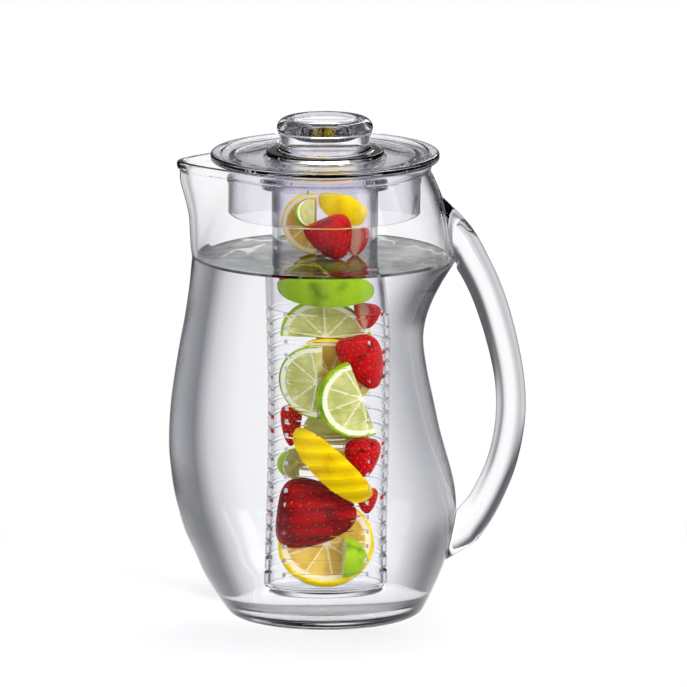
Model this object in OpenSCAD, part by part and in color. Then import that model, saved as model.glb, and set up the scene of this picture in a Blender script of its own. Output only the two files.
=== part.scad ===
// Fruit infuser pitcher: a clear pitcher with a pouring beak and a welded handle,
// a lift-off lid with a hollow knob, and a slotted tube of cut fruit that twists
// into the lid's collar and hangs down the middle of the pitcher.
// Millimetres, +Z up, +X towards the handle, origin at the centre of the foot.

/* [Pitcher] */
// Height from the table to the rim
body_h = 247.4; // [235:0.2:300]
// Mean radius of the belly
belly_r = 76; // [72:0.5:90]
// Radius of the flat ring that the foot stands on
foot_flat_r = 47.5; // [40:0.5:50]
// Rounding between the foot and the side
foot_round = 7; // [3:0.5:8]
// Wall thickness
wall_t = 3.5; // [2.5:0.1:4.5]
// Thickness of the bottom
floor_t = 6; // [4:0.5:9]
// Rounding inside, where the wall meets the bottom
floor_round = 9; // [4:0.5:12]
// Height of the bead round the rim
bead_h = 4.9; // [3:0.1:7]
// How far the bead stands out from the neck
bead_proud = 0.9; // [0.4:0.1:1.6]
// Distance from the axis to the tip of the beak
spout_reach = 78.5; // [72:0.5:88]

/* [Handle] */
// How far the handle stands out past the shoulder
handle_out = 37.8; // [32:0.2:46]
// Thickness of the handle, seen from the side
handle_t = 16; // [12:0.5:19]
// Width of the handle across the hand
handle_w = 22; // [16:0.5:28]
// Gap of the glue line between the handle and the wall
weld_gap = 0.3; // [0.2:0.05:0.5]

/* [Lid] */
// Outer radius of the skirt that drops into the mouth
skirt_r = 51.2; // [47:0.2:56]
// Depth of the skirt below the rim
skirt_h = 28.5; // [20:0.5:34]
// Wall thickness of the skirt
skirt_t = 2.8; // [2:0.1:4]
// Clearance between the skirt and the mouth
mouth_clear = 1.8; // [0.8:0.1:3]
// How far the lid's rim passes the pitcher's rim
lid_overhang = 4.1; // [2:0.1:7]
// Height of the lid's raised rim
lid_rim_h = 4.4; // [3.8:0.1:6]
// Width of the lid's raised rim
lid_rim_w = 6.1; // [4:0.1:8]
// Thickness of the lid's plate
plate_t = 2.6; // [2:0.1:3]
// Step up from the plate to the land inside the raised rim
land_t = 0.6; // [0.3:0.1:0.7]
// Gap between the lid and what it rests on
seat_gap = 0.3; // [0.2:0.05:0.5]

/* [Knob] */
// Height of the knob above the plate
knob_h = 20; // [17:0.5:26]
// Greatest radius of the knob's head
knob_r = 25.8; // [23:0.2:28]
// Radius of the knob's flared base
knob_base_r = 31.7; // [29.5:0.1:36]
// Wall thickness of the knob
knob_t = 3.2; // [2:0.1:4]
// Depth of the finger recess in the top of the knob
recess_d = 7; // [4:0.5:9]
// Radius of the finger recess
recess_r = 15.6; // [12:0.2:17]

/* [Infuser] */
// Outer radius of the infuser tube
tube_r = 28.25; // [26:0.25:31]
// Wall thickness of the tube
tube_t = 2.5; // [1.8:0.1:3.5]
// Thickness of the tube's closed end
tube_floor_t = 3; // [2:0.1:5]
// Outer rounding at the tube's closed end
tube_round = 5; // [3:0.5:7]
// Space between the tube and the pitcher's bottom
tube_drop = 10.5; // [5:0.5:20]
// Number of columns of slots
slot_columns = 3; // [3:1:3]
// Number of slots in a column
slot_rows = 20; // [6:1:20]
// Height of a slot
slot_h = 2.2; // [1.2:0.1:3]
// Distance from one slot to the next
slot_pitch = 7.35; // [5:0.05:7.5]
// Angle that a slot spans
slot_span = 94; // [40:1:100]

/* [Bayonet] */
// Clearance between the tube and the collar that holds it
collar_clear = 0.45; // [0.3:0.05:0.8]
// Wall thickness of the collar
collar_t = 4.5; // [3.6:0.1:5.5]
// Depth of the collar below the plate
collar_h = 12; // [10:0.5:15]
// How far a lug stands out from the tube
lug_out = 1.7; // [1.2:0.1:2]
// Height of a lug
lug_h = 2.8; // [2:0.1:3.4]
// Angle that a lug spans
lug_span = 12; // [8:1:16]
// Turn from locked to free
twist = 60; // [40:1:70]

/* [Hidden] */

around = 48;
overrun = 1;
// Lugs round the tube, and the angle of the first from the handle
lug_count = 3;
lug_start = -40;

// Outline of the pitcher from the foot to the shoulder, as shares: height in body_h,
// then handle side, spout side and half depth in belly_r
belly_shares = [
    [0.048, 0.757, 0.778, 0.763],
    [0.092, 0.821, 0.863, 0.836],
    [0.137, 0.872, 0.926, 0.888],
    [0.181, 0.908, 0.991, 0.921],
    [0.225, 0.928, 1.033, 0.945],
    [0.270, 0.921, 1.068, 0.958],
    [0.314, 0.892, 1.089, 0.961],
    [0.358, 0.852, 1.103, 0.958],
    [0.403, 0.813, 1.104, 0.950],
    [0.465, 0.770, 1.091, 0.933],
    [0.536, 0.722, 1.060, 0.905],
    [0.602, 0.695, 1.024, 0.884],
    [0.647, 0.711, 0.996, 0.876],
    [0.691, 0.758, 0.974, 0.871],
    [0.735, 0.830, 0.954, 0.868],
    [0.764, 0.888, 0.943, 0.868],
    [0.784, 0.925, 0.933, 0.867]];
// Neck above the shoulder: height in body_h, then the share of the way from neck to shoulder
neck_shares = [[0.808, 0.95], [0.845, 0.82], [0.881, 0.66], [0.920, 0.46], [0.959, 0.17]];
// Beak: height in body_h, then its share of the full reach
beak_shares = [[0, 0], [0.70, 0], [0.784, 0.02], [0.808, 0.07], [0.845, 0.16], [0.881, 0.28],
    [0.920, 0.50], [0.959, 0.82], [0.985, 1], [1, 1]];
// Bead: height in bead_h, then its share of bead_proud
bead_shares = [[0, 0], [0.14, 0.8], [0.25, 1], [0.75, 1], [0.93, 0.6], [1, -0.4]];
// Heights in body_h of the rings of the wall, closer where it bends most
ring_shares = [0.048, 0.07, 0.092, 0.137, 0.181, 0.225, 0.27, 0.314, 0.358, 0.403, 0.465, 0.536, 0.575,
    0.602, 0.625, 0.647, 0.668, 0.691, 0.713, 0.735, 0.75, 0.764, 0.775, 0.784, 0.796, 0.808, 0.845, 0.881,
    0.92, 0.959];
// Handle sections: place past the shoulder in handle_out, height in body_h, tilt in degrees,
// then thickness in handle_t
handle_shares = [
    [0.085, 0.817, 77, 1.52],
    [0.235, 0.776, 44, 1.17],
    [0.378, 0.732, 27, 1.09],
    [0.513, 0.679, 19, 1.07],
    [0.651, 0.606, 13, 1.03],
    [0.757, 0.526, 6, 1.00],
    [0.786, 0.453, -2, 1.00],
    [0.743, 0.389, -9, 0.99],
    [0.643, 0.327, -17, 1.00],
    [0.492, 0.271, -27, 1.03],
    [0.341, 0.228, -42, 1.10],
    [0.185, 0.196, -62, 1.28]];
// Half outline of a strawberry from its tip: radius, then height, in its own radius and length
berry_shares = [[0.0, 0.0], [0.24, 0.03], [0.48, 0.13], [0.72, 0.30], [0.91, 0.52], [1.0, 0.72],
    [0.96, 0.86], [0.76, 0.96], [0.4, 1.0], [0.0, 0.98]];
// Heights in body_h of the top and bottom of the handle's two weld pads
pad_top_share = [0.776, 0.918];
pad_face_shares = [0.35, 0.7, 1];
pad_low_share = [0.225, 0.114];

// Angle, in degrees, over which the beak's tip is rounded
tip_soft = 9;
foot_end = 50;

neck_r = skirt_r + mouth_clear + wall_t;
rim_z = body_h - bead_h;
shoulder_share = belly_shares[len(belly_shares) - 1];
shoulder_x = shoulder_share[1] * belly_r;
beak_ratio = spout_reach / neck_r;

foot_end_z = foot_round * (1 - cos(foot_end));
foot_end_r = foot_flat_r + foot_round * sin(foot_end);

lid_z = body_h + seat_gap;
lid_r = neck_r + bead_proud + lid_overhang;
plate_z = lid_z + plate_t;
lid_top_z = lid_z + lid_rim_h;
collar_r = tube_r + collar_clear;
lug_z = lid_z - collar_h / 2;
lug_clear = 0.4;
lug_angles = [for (i = [0:lug_count - 1]) lug_start + 360 * i / lug_count];

tube_z = floor_t + tube_drop;
tube_top_z = lid_z - seat_gap;
bore_r = tube_r - tube_t;
bore_z = tube_z + tube_floor_t;
slot_low_z = bore_z + slot_pitch;

// Fruit is placed and sized in bore radii, and is pressed flatter where the tube is too short
stack_share = 8.85;
fruit_u = bore_r;
fruit_press = min(1, (tube_top_z - bore_z) / (stack_share * bore_r));

// Rows of real sizes for the wall: height, handle side, spout side, half depth
wall_rows = concat(
    [[foot_end_z, foot_end_r, foot_end_r, foot_end_r]],
    [for (s = belly_shares) [s[0] * body_h, s[1] * belly_r, s[2] * belly_r, s[3] * belly_r]],
    [for (n = neck_shares) concat([n[0] * body_h],
        [for (c = [1:3]) neck_r + n[1] * (shoulder_share[c] * belly_r - neck_r)])],
    [[rim_z, neck_r, neck_r, neck_r], [body_h, neck_r, neck_r, neck_r]]);
beak_rows = [for (s = beak_shares) [s[0] * body_h, s[1]]];

// Smooth curve through a column of rows, at height t
function below(rows, t, i = 0) = i >= len(rows) - 2 || t < rows[i + 1][0] ? i : below(rows, t, i + 1);
function slope(rows, i, c) =
    let(a = max(i - 1, 0), b = min(i + 1, len(rows) - 1)) (rows[b][c] - rows[a][c]) / (rows[b][0] - rows[a][0]);
function smooth(rows, t, c) =
    let(i = below(rows, t), h = rows[i + 1][0] - rows[i][0], u = (t - rows[i][0]) / h)
    rows[i][c] * (2 * u * u * u - 3 * u * u + 1) + rows[i + 1][c] * (3 * u * u - 2 * u * u * u)
    + slope(rows, i, c) * h * (u * u * u - 2 * u * u + u) + slope(rows, i + 1, c) * h * (u * u * u - u * u);

// How far the section swells at angle phi from the beak, where the tip is ratio times as far out
function swell(phi, ratio) = ratio <= 1 ? 1
    : 1 / cos(max(0, acos(1 / ratio) - sqrt(phi * phi + tip_soft * tip_soft) + tip_soft));

// Half width, centre, half depth and beak ratio of the wall at height z, grown by extra
function section(z, extra) =
    let(right = smooth(wall_rows, z, 1) + extra, left = smooth(wall_rows, z, 2) + extra,
        half = (right + left) / 2, reach = 1 + (beak_ratio - 1) * smooth(beak_rows, z, 1))
    [half, (right - left) / 2, smooth(wall_rows, z, 3) + extra, ((half - extra) * reach + extra) / half];
function wall_ring(z, extra, inset = 0) =
    let(s = section(z, extra))
    [for (i = [0:around - 1]) let(a = 360 * i / around, k = swell(abs(a - 180), s[3]))
        [s[1] + (s[0] * k - inset) * cos(a), (s[2] * k - inset) * sin(a), z]];
function flat_ring(r, z) = [for (i = [0:around - 1]) [r * cos(360 * i / around), r * sin(360 * i / around), z]];

function arc(x, y, r, from, to, steps) =
    [for (i = [0:steps]) let(a = from + (to - from) * i / steps) [x + r * cos(a), y + r * sin(a)]];

// Closes a stack of rings of n points, with a fan over the first ring and the last
module loft(rings, first, last) {
    n = len(rings[0]);
    m = len(rings);
    points = concat([for (ring = rings) for (p = ring) p], [first, last]);
    sides = [for (j = [0:m - 2]) for (i = [0:n - 1]) let(a = j * n + i, b = j * n + (i + 1) % n)
        for (f = [[a, a + n, b], [b, a + n, b + n]]) f];
    start = [for (i = [0:n - 1]) [m * n, i, (i + 1) % n]];
    end = [for (i = [0:n - 1]) [m * n + 1, (m - 1) * n + (i + 1) % n, (m - 1) * n + i]];
    polyhedron(points, concat(sides, start, end), convexity = 10);
}

module pitcher_body() {
    foot = [for (a = [0, 20, 36, foot_end])
        flat_ring(foot_flat_r + foot_round * sin(a), foot_round * (1 - cos(a)))];
    outer = [for (s = ring_shares) wall_ring(s * body_h, 0)];
    bead = [for (s = bead_shares) wall_ring(rim_z + s[0] * bead_h, s[1] * bead_proud)];
    mouth = [for (s = [0.2, 1]) wall_ring(body_h - (s == 1 ? wall_t / 4 : 0), -wall_t * (s == 1 ? 1 : 0.8))];
    inner = [for (j = [len(ring_shares) - 1:-1:0]) if (ring_shares[j] * body_h > floor_t + floor_round)
        wall_ring(ring_shares[j] * body_h, -wall_t)];
    bottom = [for (a = [0, 30, 60, 90])
        wall_ring(floor_t + floor_round * (1 - sin(a)), -wall_t, floor_round * (1 - cos(a)))];
    rings = concat(foot, outer, bead, mouth, inner, bottom);
    color("lavender", 0.4) loft(rings, [0, 0, 0], [0, 0, floor_t]);
}

// The wall's outside at y and z, on the handle's side
function wall_x(y, z) = let(s = section(z, 0)) s[1] + s[0] * sqrt(1 - y * y / (s[2] * s[2]));

// Ring of a weld pad, drawn in to a part of its full size
function pad_ring(share, n, part) =
    let(mid = (share[1] + share[0]) * body_h / 2, half = part * (share[1] - share[0]) * body_h / 2)
    [for (i = [0:n - 1]) let(y = -part * handle_w / 2 * sin(360 * i / n), z = mid + half * cos(360 * i / n))
        [wall_x(y, z) + weld_gap, y, z]];
function handle_value(t, c) =
    let(i = min(floor(t), len(handle_shares) - 2), u = t - i, last = len(handle_shares) - 1,
        p = handle_shares[i][c], q = handle_shares[i + 1][c],
        mp = (q - handle_shares[max(i - 1, 0)][c]) / (i > 0 ? 2 : 1),
        mq = (handle_shares[min(i + 2, last)][c] - p) / (i < last - 1 ? 2 : 1))
    p * (2 * u * u * u - 3 * u * u + 1) + q * (3 * u * u - 2 * u * u * u)
    + mp * (u * u * u - 2 * u * u + u) + mq * (u * u * u - u * u);
function handle_ring(t, n) =
    let(x = shoulder_x + handle_value(t, 0) * handle_out, z = handle_value(t, 1) * body_h,
        tilt = handle_value(t, 2), half = handle_value(t, 3) * handle_t / 2)
    [for (i = [0:n - 1]) let(c = cos(360 * i / n), s = sin(360 * i / n))
        [x + half * c * cos(tilt), -handle_w / 2 * s, z + half * c * sin(tilt)]];
function mix(a, b, u) = [for (i = [0:len(a) - 1]) a[i] * (1 - u) + b[i] * u];

module handle() {
    n = 20;
    last = len(handle_shares) - 1;
    top = [for (part = pad_face_shares) pad_ring(pad_top_share, n, part)];
    low = [for (part = pad_face_shares) pad_ring(pad_low_share, n, part)];
    rings = concat(top, [mix(top[len(top) - 1], handle_ring(0, n), 0.5)],
        [for (t = [0:1 / 3:last + 0.01]) handle_ring(min(t, last), n)],
        [mix(handle_ring(last, n), low[len(low) - 1], 0.5)], [for (j = [len(low) - 1:-1:0]) low[j]]);
    top_z = (pad_top_share[0] + pad_top_share[1]) * body_h / 2;
    low_z = (pad_low_share[0] + pad_low_share[1]) * body_h / 2;
    color("ghostwhite", 0.5)
        loft(rings, [wall_x(0, top_z) + weld_gap, 0, top_z], [wall_x(0, low_z) + weld_gap, 0, low_z]);
}

module lid() {
    rim_in_r = lid_r - lid_rim_w;
    skirt_in_r = skirt_r - skirt_t;
    edge = lid_rim_w / 4;
    profile = concat(
        [[0, lid_z], [skirt_in_r, lid_z], [skirt_in_r, lid_z - skirt_h], [skirt_r, lid_z - skirt_h],
            [skirt_r, lid_z]],
        arc(lid_r - edge, lid_z + edge, edge, -90, 0, 4),
        arc(lid_r - edge, lid_top_z - edge, edge, 0, 90, 4),
        arc(rim_in_r + edge, lid_top_z - edge, edge, 90, 150, 3),
        [[rim_in_r, plate_z + land_t], [skirt_in_r, plate_z + land_t], [skirt_in_r - land_t, plate_z],
            [0, plate_z]]);
    color("lavender", 0.4) {
        rotate_extrude($fn = 96) polygon(profile);
        lid_collar();
    }
}

// Ring under the plate with a lug groove and three ways in, closed between them as stops
module lid_collar() {
    groove_r = collar_r + lug_out + lug_clear - collar_clear;
    groove_h = lug_h + 2 * lug_clear;
    groove_side = lug_span / 2 + 2;
    entry_side = lug_span / 2 + 1;
    entry_r = groove_r - lug_clear / 2;
    difference() {
        rotate_extrude($fn = 96)
            polygon([[collar_r, lid_z - collar_h], [collar_r + collar_t, lid_z - collar_h],
                [collar_r + collar_t, lid_z + plate_t / 2], [collar_r, lid_z + plate_t / 2]]);
        for (a = lug_angles) {
            rotate([0, 0, a - groove_side])
                rotate_extrude(angle = twist + 2 * groove_side, $fn = 96)
                    polygon([[collar_r - overrun, lug_z - groove_h / 2], [groove_r, lug_z - groove_h / 2],
                        [groove_r, lug_z + groove_h / 2], [collar_r - overrun, lug_z + groove_h / 2]]);
            rotate([0, 0, a + twist - entry_side])
                rotate_extrude(angle = 2 * entry_side, $fn = 96)
                    polygon([[collar_r - overrun, lid_z - collar_h - overrun],
                        [entry_r, lid_z - collar_h - overrun], [entry_r, lug_z],
                        [collar_r - overrun, lug_z]]);
        }
    }
}

module knob() {
    head = knob_h / 4;
    waist_r = knob_r - 0.3 * head;
    lip_r = recess_r + 0.3 * head;
    flare = knob_base_r - waist_r;
    top_z = plate_z + knob_h;
    recess_z = top_z - recess_d;
    cavity_r = waist_r - knob_t;
    profile = concat(
        [[0, recess_z - knob_t], [recess_r - 0.3 * head, recess_z - knob_t],
            [cavity_r - 0.4 * head, top_z - head - 0.3 * knob_t], [cavity_r, top_z - 1.4 * head],
            [cavity_r, plate_z], [knob_base_r, plate_z]],
        arc(knob_base_r - 0.15 * flare, plate_z + 0.25 * flare, 0.15 * flare, 0, 90, 3),
        arc(waist_r + 0.45 * flare, plate_z + 0.85 * flare, 0.45 * flare, 270, 180, 4),
        [[waist_r, plate_z + 1.3 * flare]],
        arc(knob_r - head, top_z - head, head, 0, 90, 6),
        arc(lip_r + 0.3 * head, top_z - 0.3 * head, 0.3 * head, 90, 180, 3),
        [[recess_r, top_z - head], [recess_r - 0.3 * head, recess_z], [0, recess_z]]);
    color("ghostwhite", 0.5) rotate_extrude($fn = 96) polygon(profile);
}

module infuser_tube() {
    inner_round = tube_round - tube_t;
    profile = concat(
        [[0, tube_z]],
        arc(tube_r - tube_round, tube_z + tube_round, tube_round, -90, 0, 6),
        [[tube_r, tube_top_z], [bore_r, tube_top_z]],
        arc(bore_r - inner_round, bore_z + inner_round, inner_round, 0, -90, 4),
        [[0, bore_z]]);
    color("lavender", 0.4) {
        difference() {
            rotate_extrude($fn = 96) polygon(profile);
            for (column = [0:slot_columns - 1])
                for (row = [0:slot_rows - 1])
                    rotate([0, 0, -90 - slot_span / 2 + 360 * column / slot_columns])
                        translate([0, 0, slot_low_z + row * slot_pitch])
                            rotate_extrude(angle = slot_span, $fn = 96)
                                polygon([[bore_r - overrun, 0], [tube_r + overrun, 0],
                                    [tube_r + overrun, slot_h], [bore_r - overrun, slot_h]]);
        }
        for (a = lug_angles)
            rotate([0, 0, a - lug_span / 2])
                rotate_extrude(angle = lug_span, $fn = 96)
                    polygon([[tube_r - tube_t / 2, lug_z - lug_h / 2], [tube_r + lug_out, lug_z - lug_h / 2],
                        [tube_r + lug_out, lug_z + lug_h / 2], [tube_r - tube_t / 2, lug_z + lug_h / 2]]);
    }
}

// Fruit tables: place from the middle of the tube's floor, turn about its own middle, lean
// after that turn, both in degrees, then sizes; places and lengths are shares of the fruit unit
lemon_slice_low_shares = [[0, -0.1, 0.84], [60, 0, 0], [0, 0, 0], [0.87, 0.22, 360]];
lime_wedge_low_shares = [[0.3, -0.4, 0.6], [0, 0, -40], [-30, 0, 0], [0.45, 0.8, 80]];
lime_chunk_low_shares = [[0, -0.05, 0.58], [85, 0, 90], [0, 0, 0], [0.85, 1.5, 56]];
strawberry_large_shares = [[0.55, 0.03, 1.35], [85, 0, -90], [-30, 0, 0], [0.72, 1.45, 180]];
strawberry_small_shares = [[0.72, 0.22, 1.36], [0, 0, 0], [0, 0, 0], [0.2, 0.5, 360]];
lemon_chunk_low_shares = [[0.05, 0.2, 2.36], [90, 0, 90], [0, 0, 0], [0.76, 1.3, 38]];
lemon_wedge_long_shares = [[0.1, -0.04, 2.47], [43, 0, -90], [0, 0, 0], [0.78, 2, 50]];
strawberry_right_shares = [[0.62, -0.12, 2.12], [0, 0, -90], [0, 0, 0], [0.33, 0.85, 360]];
strawberry_left_shares = [[-0.68, 0.4, 2.75], [0, 0, 0], [0, 0, 0], [0.2, 0.85, 360]];
lime_chunk_left_shares = [[-0.52, 0.02, 2.46], [0, 0, 180], [0, 0, 0], [0.4, 0.62, 70]];
lime_half_slice_front_shares = [[0.6, -0.36, 3.9], [90, 162, 0], [0, 0, 20], [0.84, 0.22, 180]];
lime_half_slice_left_shares = [[-0.16, -0.2, 4.22], [90, 180, 0], [0, 0, -28], [0.8, 0.2, 180]];
lime_chunk_mid_shares = [[0.14, 0.12, 3.07], [95, 0, 90], [0, 0, 0], [0.82, 1.2, 58]];
lemon_half_slice_mid_shares = [[0, 0.16, 4.32], [90, -30, 0], [0, 0, 0], [0.8, 0.2, 180]];
strawberry_middle_shares = [[0.815, -0.03, 4.02], [18, 0, -90], [0, 0, 0], [0.4, 1.25, 180]];
lime_half_slice_pale_shares = [[-0.05, 0.22, 5.14], [90, -90, 0], [0, 0, 0], [0.8, 0.2, 180]];
strawberry_upper_left_shares = [[-0.66, 0.35, 5.9], [0, 0, 0], [0, 0, 0], [0.2, 0.7, 360]];
strawberry_upper_right_shares = [[0.66, -0.16, 5.4], [0, 0, 35], [0, 0, 0], [0.3, 0.56, 180]];
lime_wedge_cross_shares = [[0, -0.05, 6.27], [90, 0, -90], [0, 0, 0], [0.85, 1.75, 44]];
lemon_chunk_upper_shares = [[0.15, 0.12, 6.33], [88, 0, 90], [0, 0, 0], [0.85, 1, 38]];
lemon_slice_waterline_shares = [[0, 0, 6.72], [0, 0, 0], [0, 0, 0], [0.9, 0.2, 360]];
strawberry_half_top_shares = [[0.33, -0.42, 6.85], [22, 0, -90], [0, 0, 0], [0.5, 1.02, 180]];
lemon_half_slice_top_shares = [[-0.2, 0.1, 7.58], [90, 180, 0], [0, 0, -15], [0.74, 0.2, 180]];
lemon_wedge_top_shares = [[0.38, 0.42, 7.98], [64, 0, -90], [0, 0, 0], [0.7, 1.1, 50]];
lime_wedge_top_shares = [[-0.21, -0.21, 7.88], [20, 0, 180], [0, 0, 0], [0.42, 0.6, 60]];
strawberry_cut_top_shares = [[0.62, 0, 6.84], [0, 0, 60], [0, 0, 0], [0.32, 0.62, 180]];
lime_chunk_top_shares = [[-0.01, 0.35, 7.26], [82, 0, 90], [0, 0, 0], [0.6, 1.2, 60]];
lemon_chunk_mid_shares = [[-0.1, 0.38, 4.05], [80, 0, 90], [0, 0, 0], [0.56, 1.2, 70]];
strawberry_back_shares = [[0.05, 0.675, 4.55], [0, 0, 90], [0, 0, 0], [0.3, 0.9, 360]];

// Turns a profile into a piece of fruit and stands it in the tube: shares are its place, its
// turn, its lean, and its sizes, of which the last is the angle that is left of the round
module fruit(shares, profile) {
    translate([0, 0, bore_z]) scale([1, 1, fruit_press]) translate(shares[0] * fruit_u)
        rotate(shares[2]) rotate(shares[1]) rotate([0, 0, -shares[3][2] / 2])
        rotate_extrude(angle = shares[3][2], $fn = around) polygon(profile);
}

// Wedge of a citrus fruit, its sharp edge on the local Z axis and its rind towards +X:
// sizes are the fruit's radius, the wedge's length and its angle
module wedge(shares) {
    r = shares[3][0] * fruit_u;
    half = shares[3][1] * fruit_u / 2;
    rind = [for (a = [-75:15:75]) [r * pow(cos(a), 0.8), half * sin(a)]];
    fruit(shares, concat([[0, -half]], rind, [[0, half]]));
}

// Slice of a citrus fruit, flat across local Z, its middle at the origin: sizes are its
// radius, its thickness and its angle
module slice(shares) {
    r = shares[3][0] * fruit_u;
    half = shares[3][1] * fruit_u / 2;
    soft = 0.4 * half;
    fruit(shares, [[0, -half], [r - soft, -half], [r, -soft], [r, soft], [r - soft, half], [0, half]]);
}

// Strawberry with its tip at the origin and its crown up local Z: sizes are its radius,
// its length and its angle
module berry(shares) {
    fruit(shares, [for (s = berry_shares) [s[0] * shares[3][0], s[1] * shares[3][1]] * fruit_u]);
}

module lemon_slice_low() { color("khaki") slice(lemon_slice_low_shares); }
module lime_wedge_low() { color("yellowgreen") wedge(lime_wedge_low_shares); }
module lime_chunk_low() { color("yellowgreen") wedge(lime_chunk_low_shares); }
module strawberry_large() { color("darkred") berry(strawberry_large_shares); }
module strawberry_small() { color("crimson") berry(strawberry_small_shares); }
module lemon_chunk_low() { color("gold") wedge(lemon_chunk_low_shares); }
module lemon_wedge_long() { color("gold") wedge(lemon_wedge_long_shares); }
module strawberry_right() { color("crimson") berry(strawberry_right_shares); }
module strawberry_left() { color("darkred") berry(strawberry_left_shares); }
module lime_chunk_left() { color("olivedrab") wedge(lime_chunk_left_shares); }
module lime_half_slice_front() { color("yellowgreen") slice(lime_half_slice_front_shares); }
module lime_half_slice_left() { color("olivedrab") slice(lime_half_slice_left_shares); }
module lime_chunk_mid() { color("yellowgreen") wedge(lime_chunk_mid_shares); }
module lemon_half_slice_mid() { color("khaki") slice(lemon_half_slice_mid_shares); }
module strawberry_middle() { color("red") berry(strawberry_middle_shares); }
module lime_half_slice_pale() { color("palegoldenrod") slice(lime_half_slice_pale_shares); }
module strawberry_upper_left() { color("darkred") berry(strawberry_upper_left_shares); }
module strawberry_upper_right() { color("tomato") berry(strawberry_upper_right_shares); }
module lime_wedge_cross() { color("yellowgreen") wedge(lime_wedge_cross_shares); }
module lemon_chunk_upper() { color("gold") wedge(lemon_chunk_upper_shares); }
module lemon_slice_waterline() { color("khaki") slice(lemon_slice_waterline_shares); }
module strawberry_half_top() { color("firebrick") berry(strawberry_half_top_shares); }
module lemon_half_slice_top() { color("khaki") slice(lemon_half_slice_top_shares); }
module lemon_wedge_top() { color("gold") wedge(lemon_wedge_top_shares); }
module lime_wedge_top() { color("olivedrab") wedge(lime_wedge_top_shares); }
module strawberry_cut_top() { color("tomato") berry(strawberry_cut_top_shares); }
module lime_chunk_top() { color("yellowgreen") wedge(lime_chunk_top_shares); }
module lemon_chunk_mid() { color("gold") wedge(lemon_chunk_mid_shares); }
module strawberry_back() { color("crimson") berry(strawberry_back_shares); }

pitcher_body();
handle();
lid();
knob();
infuser_tube();
lemon_slice_low();
lime_wedge_low();
lime_chunk_low();
strawberry_large();
strawberry_small();
lemon_chunk_low();
lemon_wedge_long();
strawberry_right();
strawberry_left();
lime_chunk_left();
lime_half_slice_front();
lime_half_slice_left();
lime_chunk_mid();
lemon_half_slice_mid();
strawberry_middle();
lime_half_slice_pale();
strawberry_upper_left();
strawberry_upper_right();
lime_wedge_cross();
lemon_chunk_upper();
lemon_slice_waterline();
strawberry_half_top();
lemon_half_slice_top();
lemon_wedge_top();
lime_wedge_top();
strawberry_cut_top();
lime_chunk_top();
lemon_chunk_mid();
strawberry_back();
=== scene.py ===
"""Looks of a fruit infuser pitcher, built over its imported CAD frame.

The clear pieces are rebuilt as smooth surfaces from the same outlines as the
part's source, the fruit is rebuilt with rind, flesh, segments and seeds, and
water, floor, lamps, world and camera are added. Outlines are in millimetres
and meshes in metres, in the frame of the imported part: +Z up, +X towards the
handle, -Y towards the camera.
"""

import logging
import math
from dataclasses import dataclass, field
from enum import Enum
from typing import Any, Callable, Sequence

import bpy
import numpy as np
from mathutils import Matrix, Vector


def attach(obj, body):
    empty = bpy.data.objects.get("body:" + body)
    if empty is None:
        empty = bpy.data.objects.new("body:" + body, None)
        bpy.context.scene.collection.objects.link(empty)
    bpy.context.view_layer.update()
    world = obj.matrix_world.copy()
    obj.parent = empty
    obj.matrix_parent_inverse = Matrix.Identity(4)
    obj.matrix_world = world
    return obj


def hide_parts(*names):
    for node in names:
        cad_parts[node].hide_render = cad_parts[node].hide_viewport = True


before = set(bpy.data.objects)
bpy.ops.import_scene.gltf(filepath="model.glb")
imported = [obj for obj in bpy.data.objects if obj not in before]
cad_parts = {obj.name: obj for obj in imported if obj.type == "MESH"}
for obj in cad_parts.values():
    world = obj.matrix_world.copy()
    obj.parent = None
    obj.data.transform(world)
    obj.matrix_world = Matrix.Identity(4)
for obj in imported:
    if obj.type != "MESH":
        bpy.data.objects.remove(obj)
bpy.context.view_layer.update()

log = logging.getLogger("pitcher")

Socket = bpy.types.NodeSocket

MM = 0.001
# Length under which two points count as one, in millimetres
TINY = 1e-6


# --- Sizes ------------------------------------------------------------------


@dataclass(frozen=True)
class PitcherSize:
    """Sizes of the pitcher's wall, in millimetres."""

    body_h: float = 247.4
    belly_r: float = 76.0
    foot_flat_r: float = 47.5
    foot_round: float = 7.0
    foot_end: float = 50.0
    wall_t: float = 3.5
    floor_t: float = 6.0
    floor_round: float = 9.0
    bead_h: float = 4.9
    bead_proud: float = 0.9
    spout_reach: float = 78.5
    tip_soft: float = 9.0
    water_z: float = 195.6

    @property
    def rim_z(self) -> float:
        """Height at which the bead starts."""
        return self.body_h - self.bead_h


@dataclass(frozen=True)
class HandleSize:
    """Sizes of the handle, in millimetres."""

    out: float = 37.8
    thick: float = 16.0
    wide: float = 22.0
    weld_gap: float = 0.3


@dataclass(frozen=True)
class LidSize:
    """Sizes of the lid and of the collar below it, in millimetres."""

    z: float = 247.7
    r: float = 61.5
    skirt_r: float = 51.2
    skirt_h: float = 28.5
    skirt_t: float = 2.8
    skirt_play: float = 1.8
    rim_h: float = 4.4
    rim_w: float = 6.1
    plate_t: float = 2.6
    land_t: float = 0.6
    collar_r: float = 28.7
    collar_t: float = 4.5
    collar_h: float = 12.0
    groove_r: float = 30.35
    groove_h: float = 3.6


@dataclass(frozen=True)
class KnobSize:
    """Sizes of the knob, in millimetres.

    The head's round is given as a share of the height, the lip's round and the cavity's upper
    chamfer, the crown, as shares of the head's round, and the rest as shares of the foot's flare.
    """

    z: float = 250.3
    h: float = 20.0
    r: float = 25.8
    base_r: float = 31.7
    t: float = 3.2
    recess_d: float = 7.0
    recess_r: float = 15.6
    head_share: float = 0.25
    lip_share: float = 0.3
    crown_share: float = 0.4
    edge_share: float = 0.15
    foot_share: float = 0.25
    hollow_share: float = 0.45
    hollow_h_share: float = 0.85
    waist_share: float = 1.3


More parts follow.
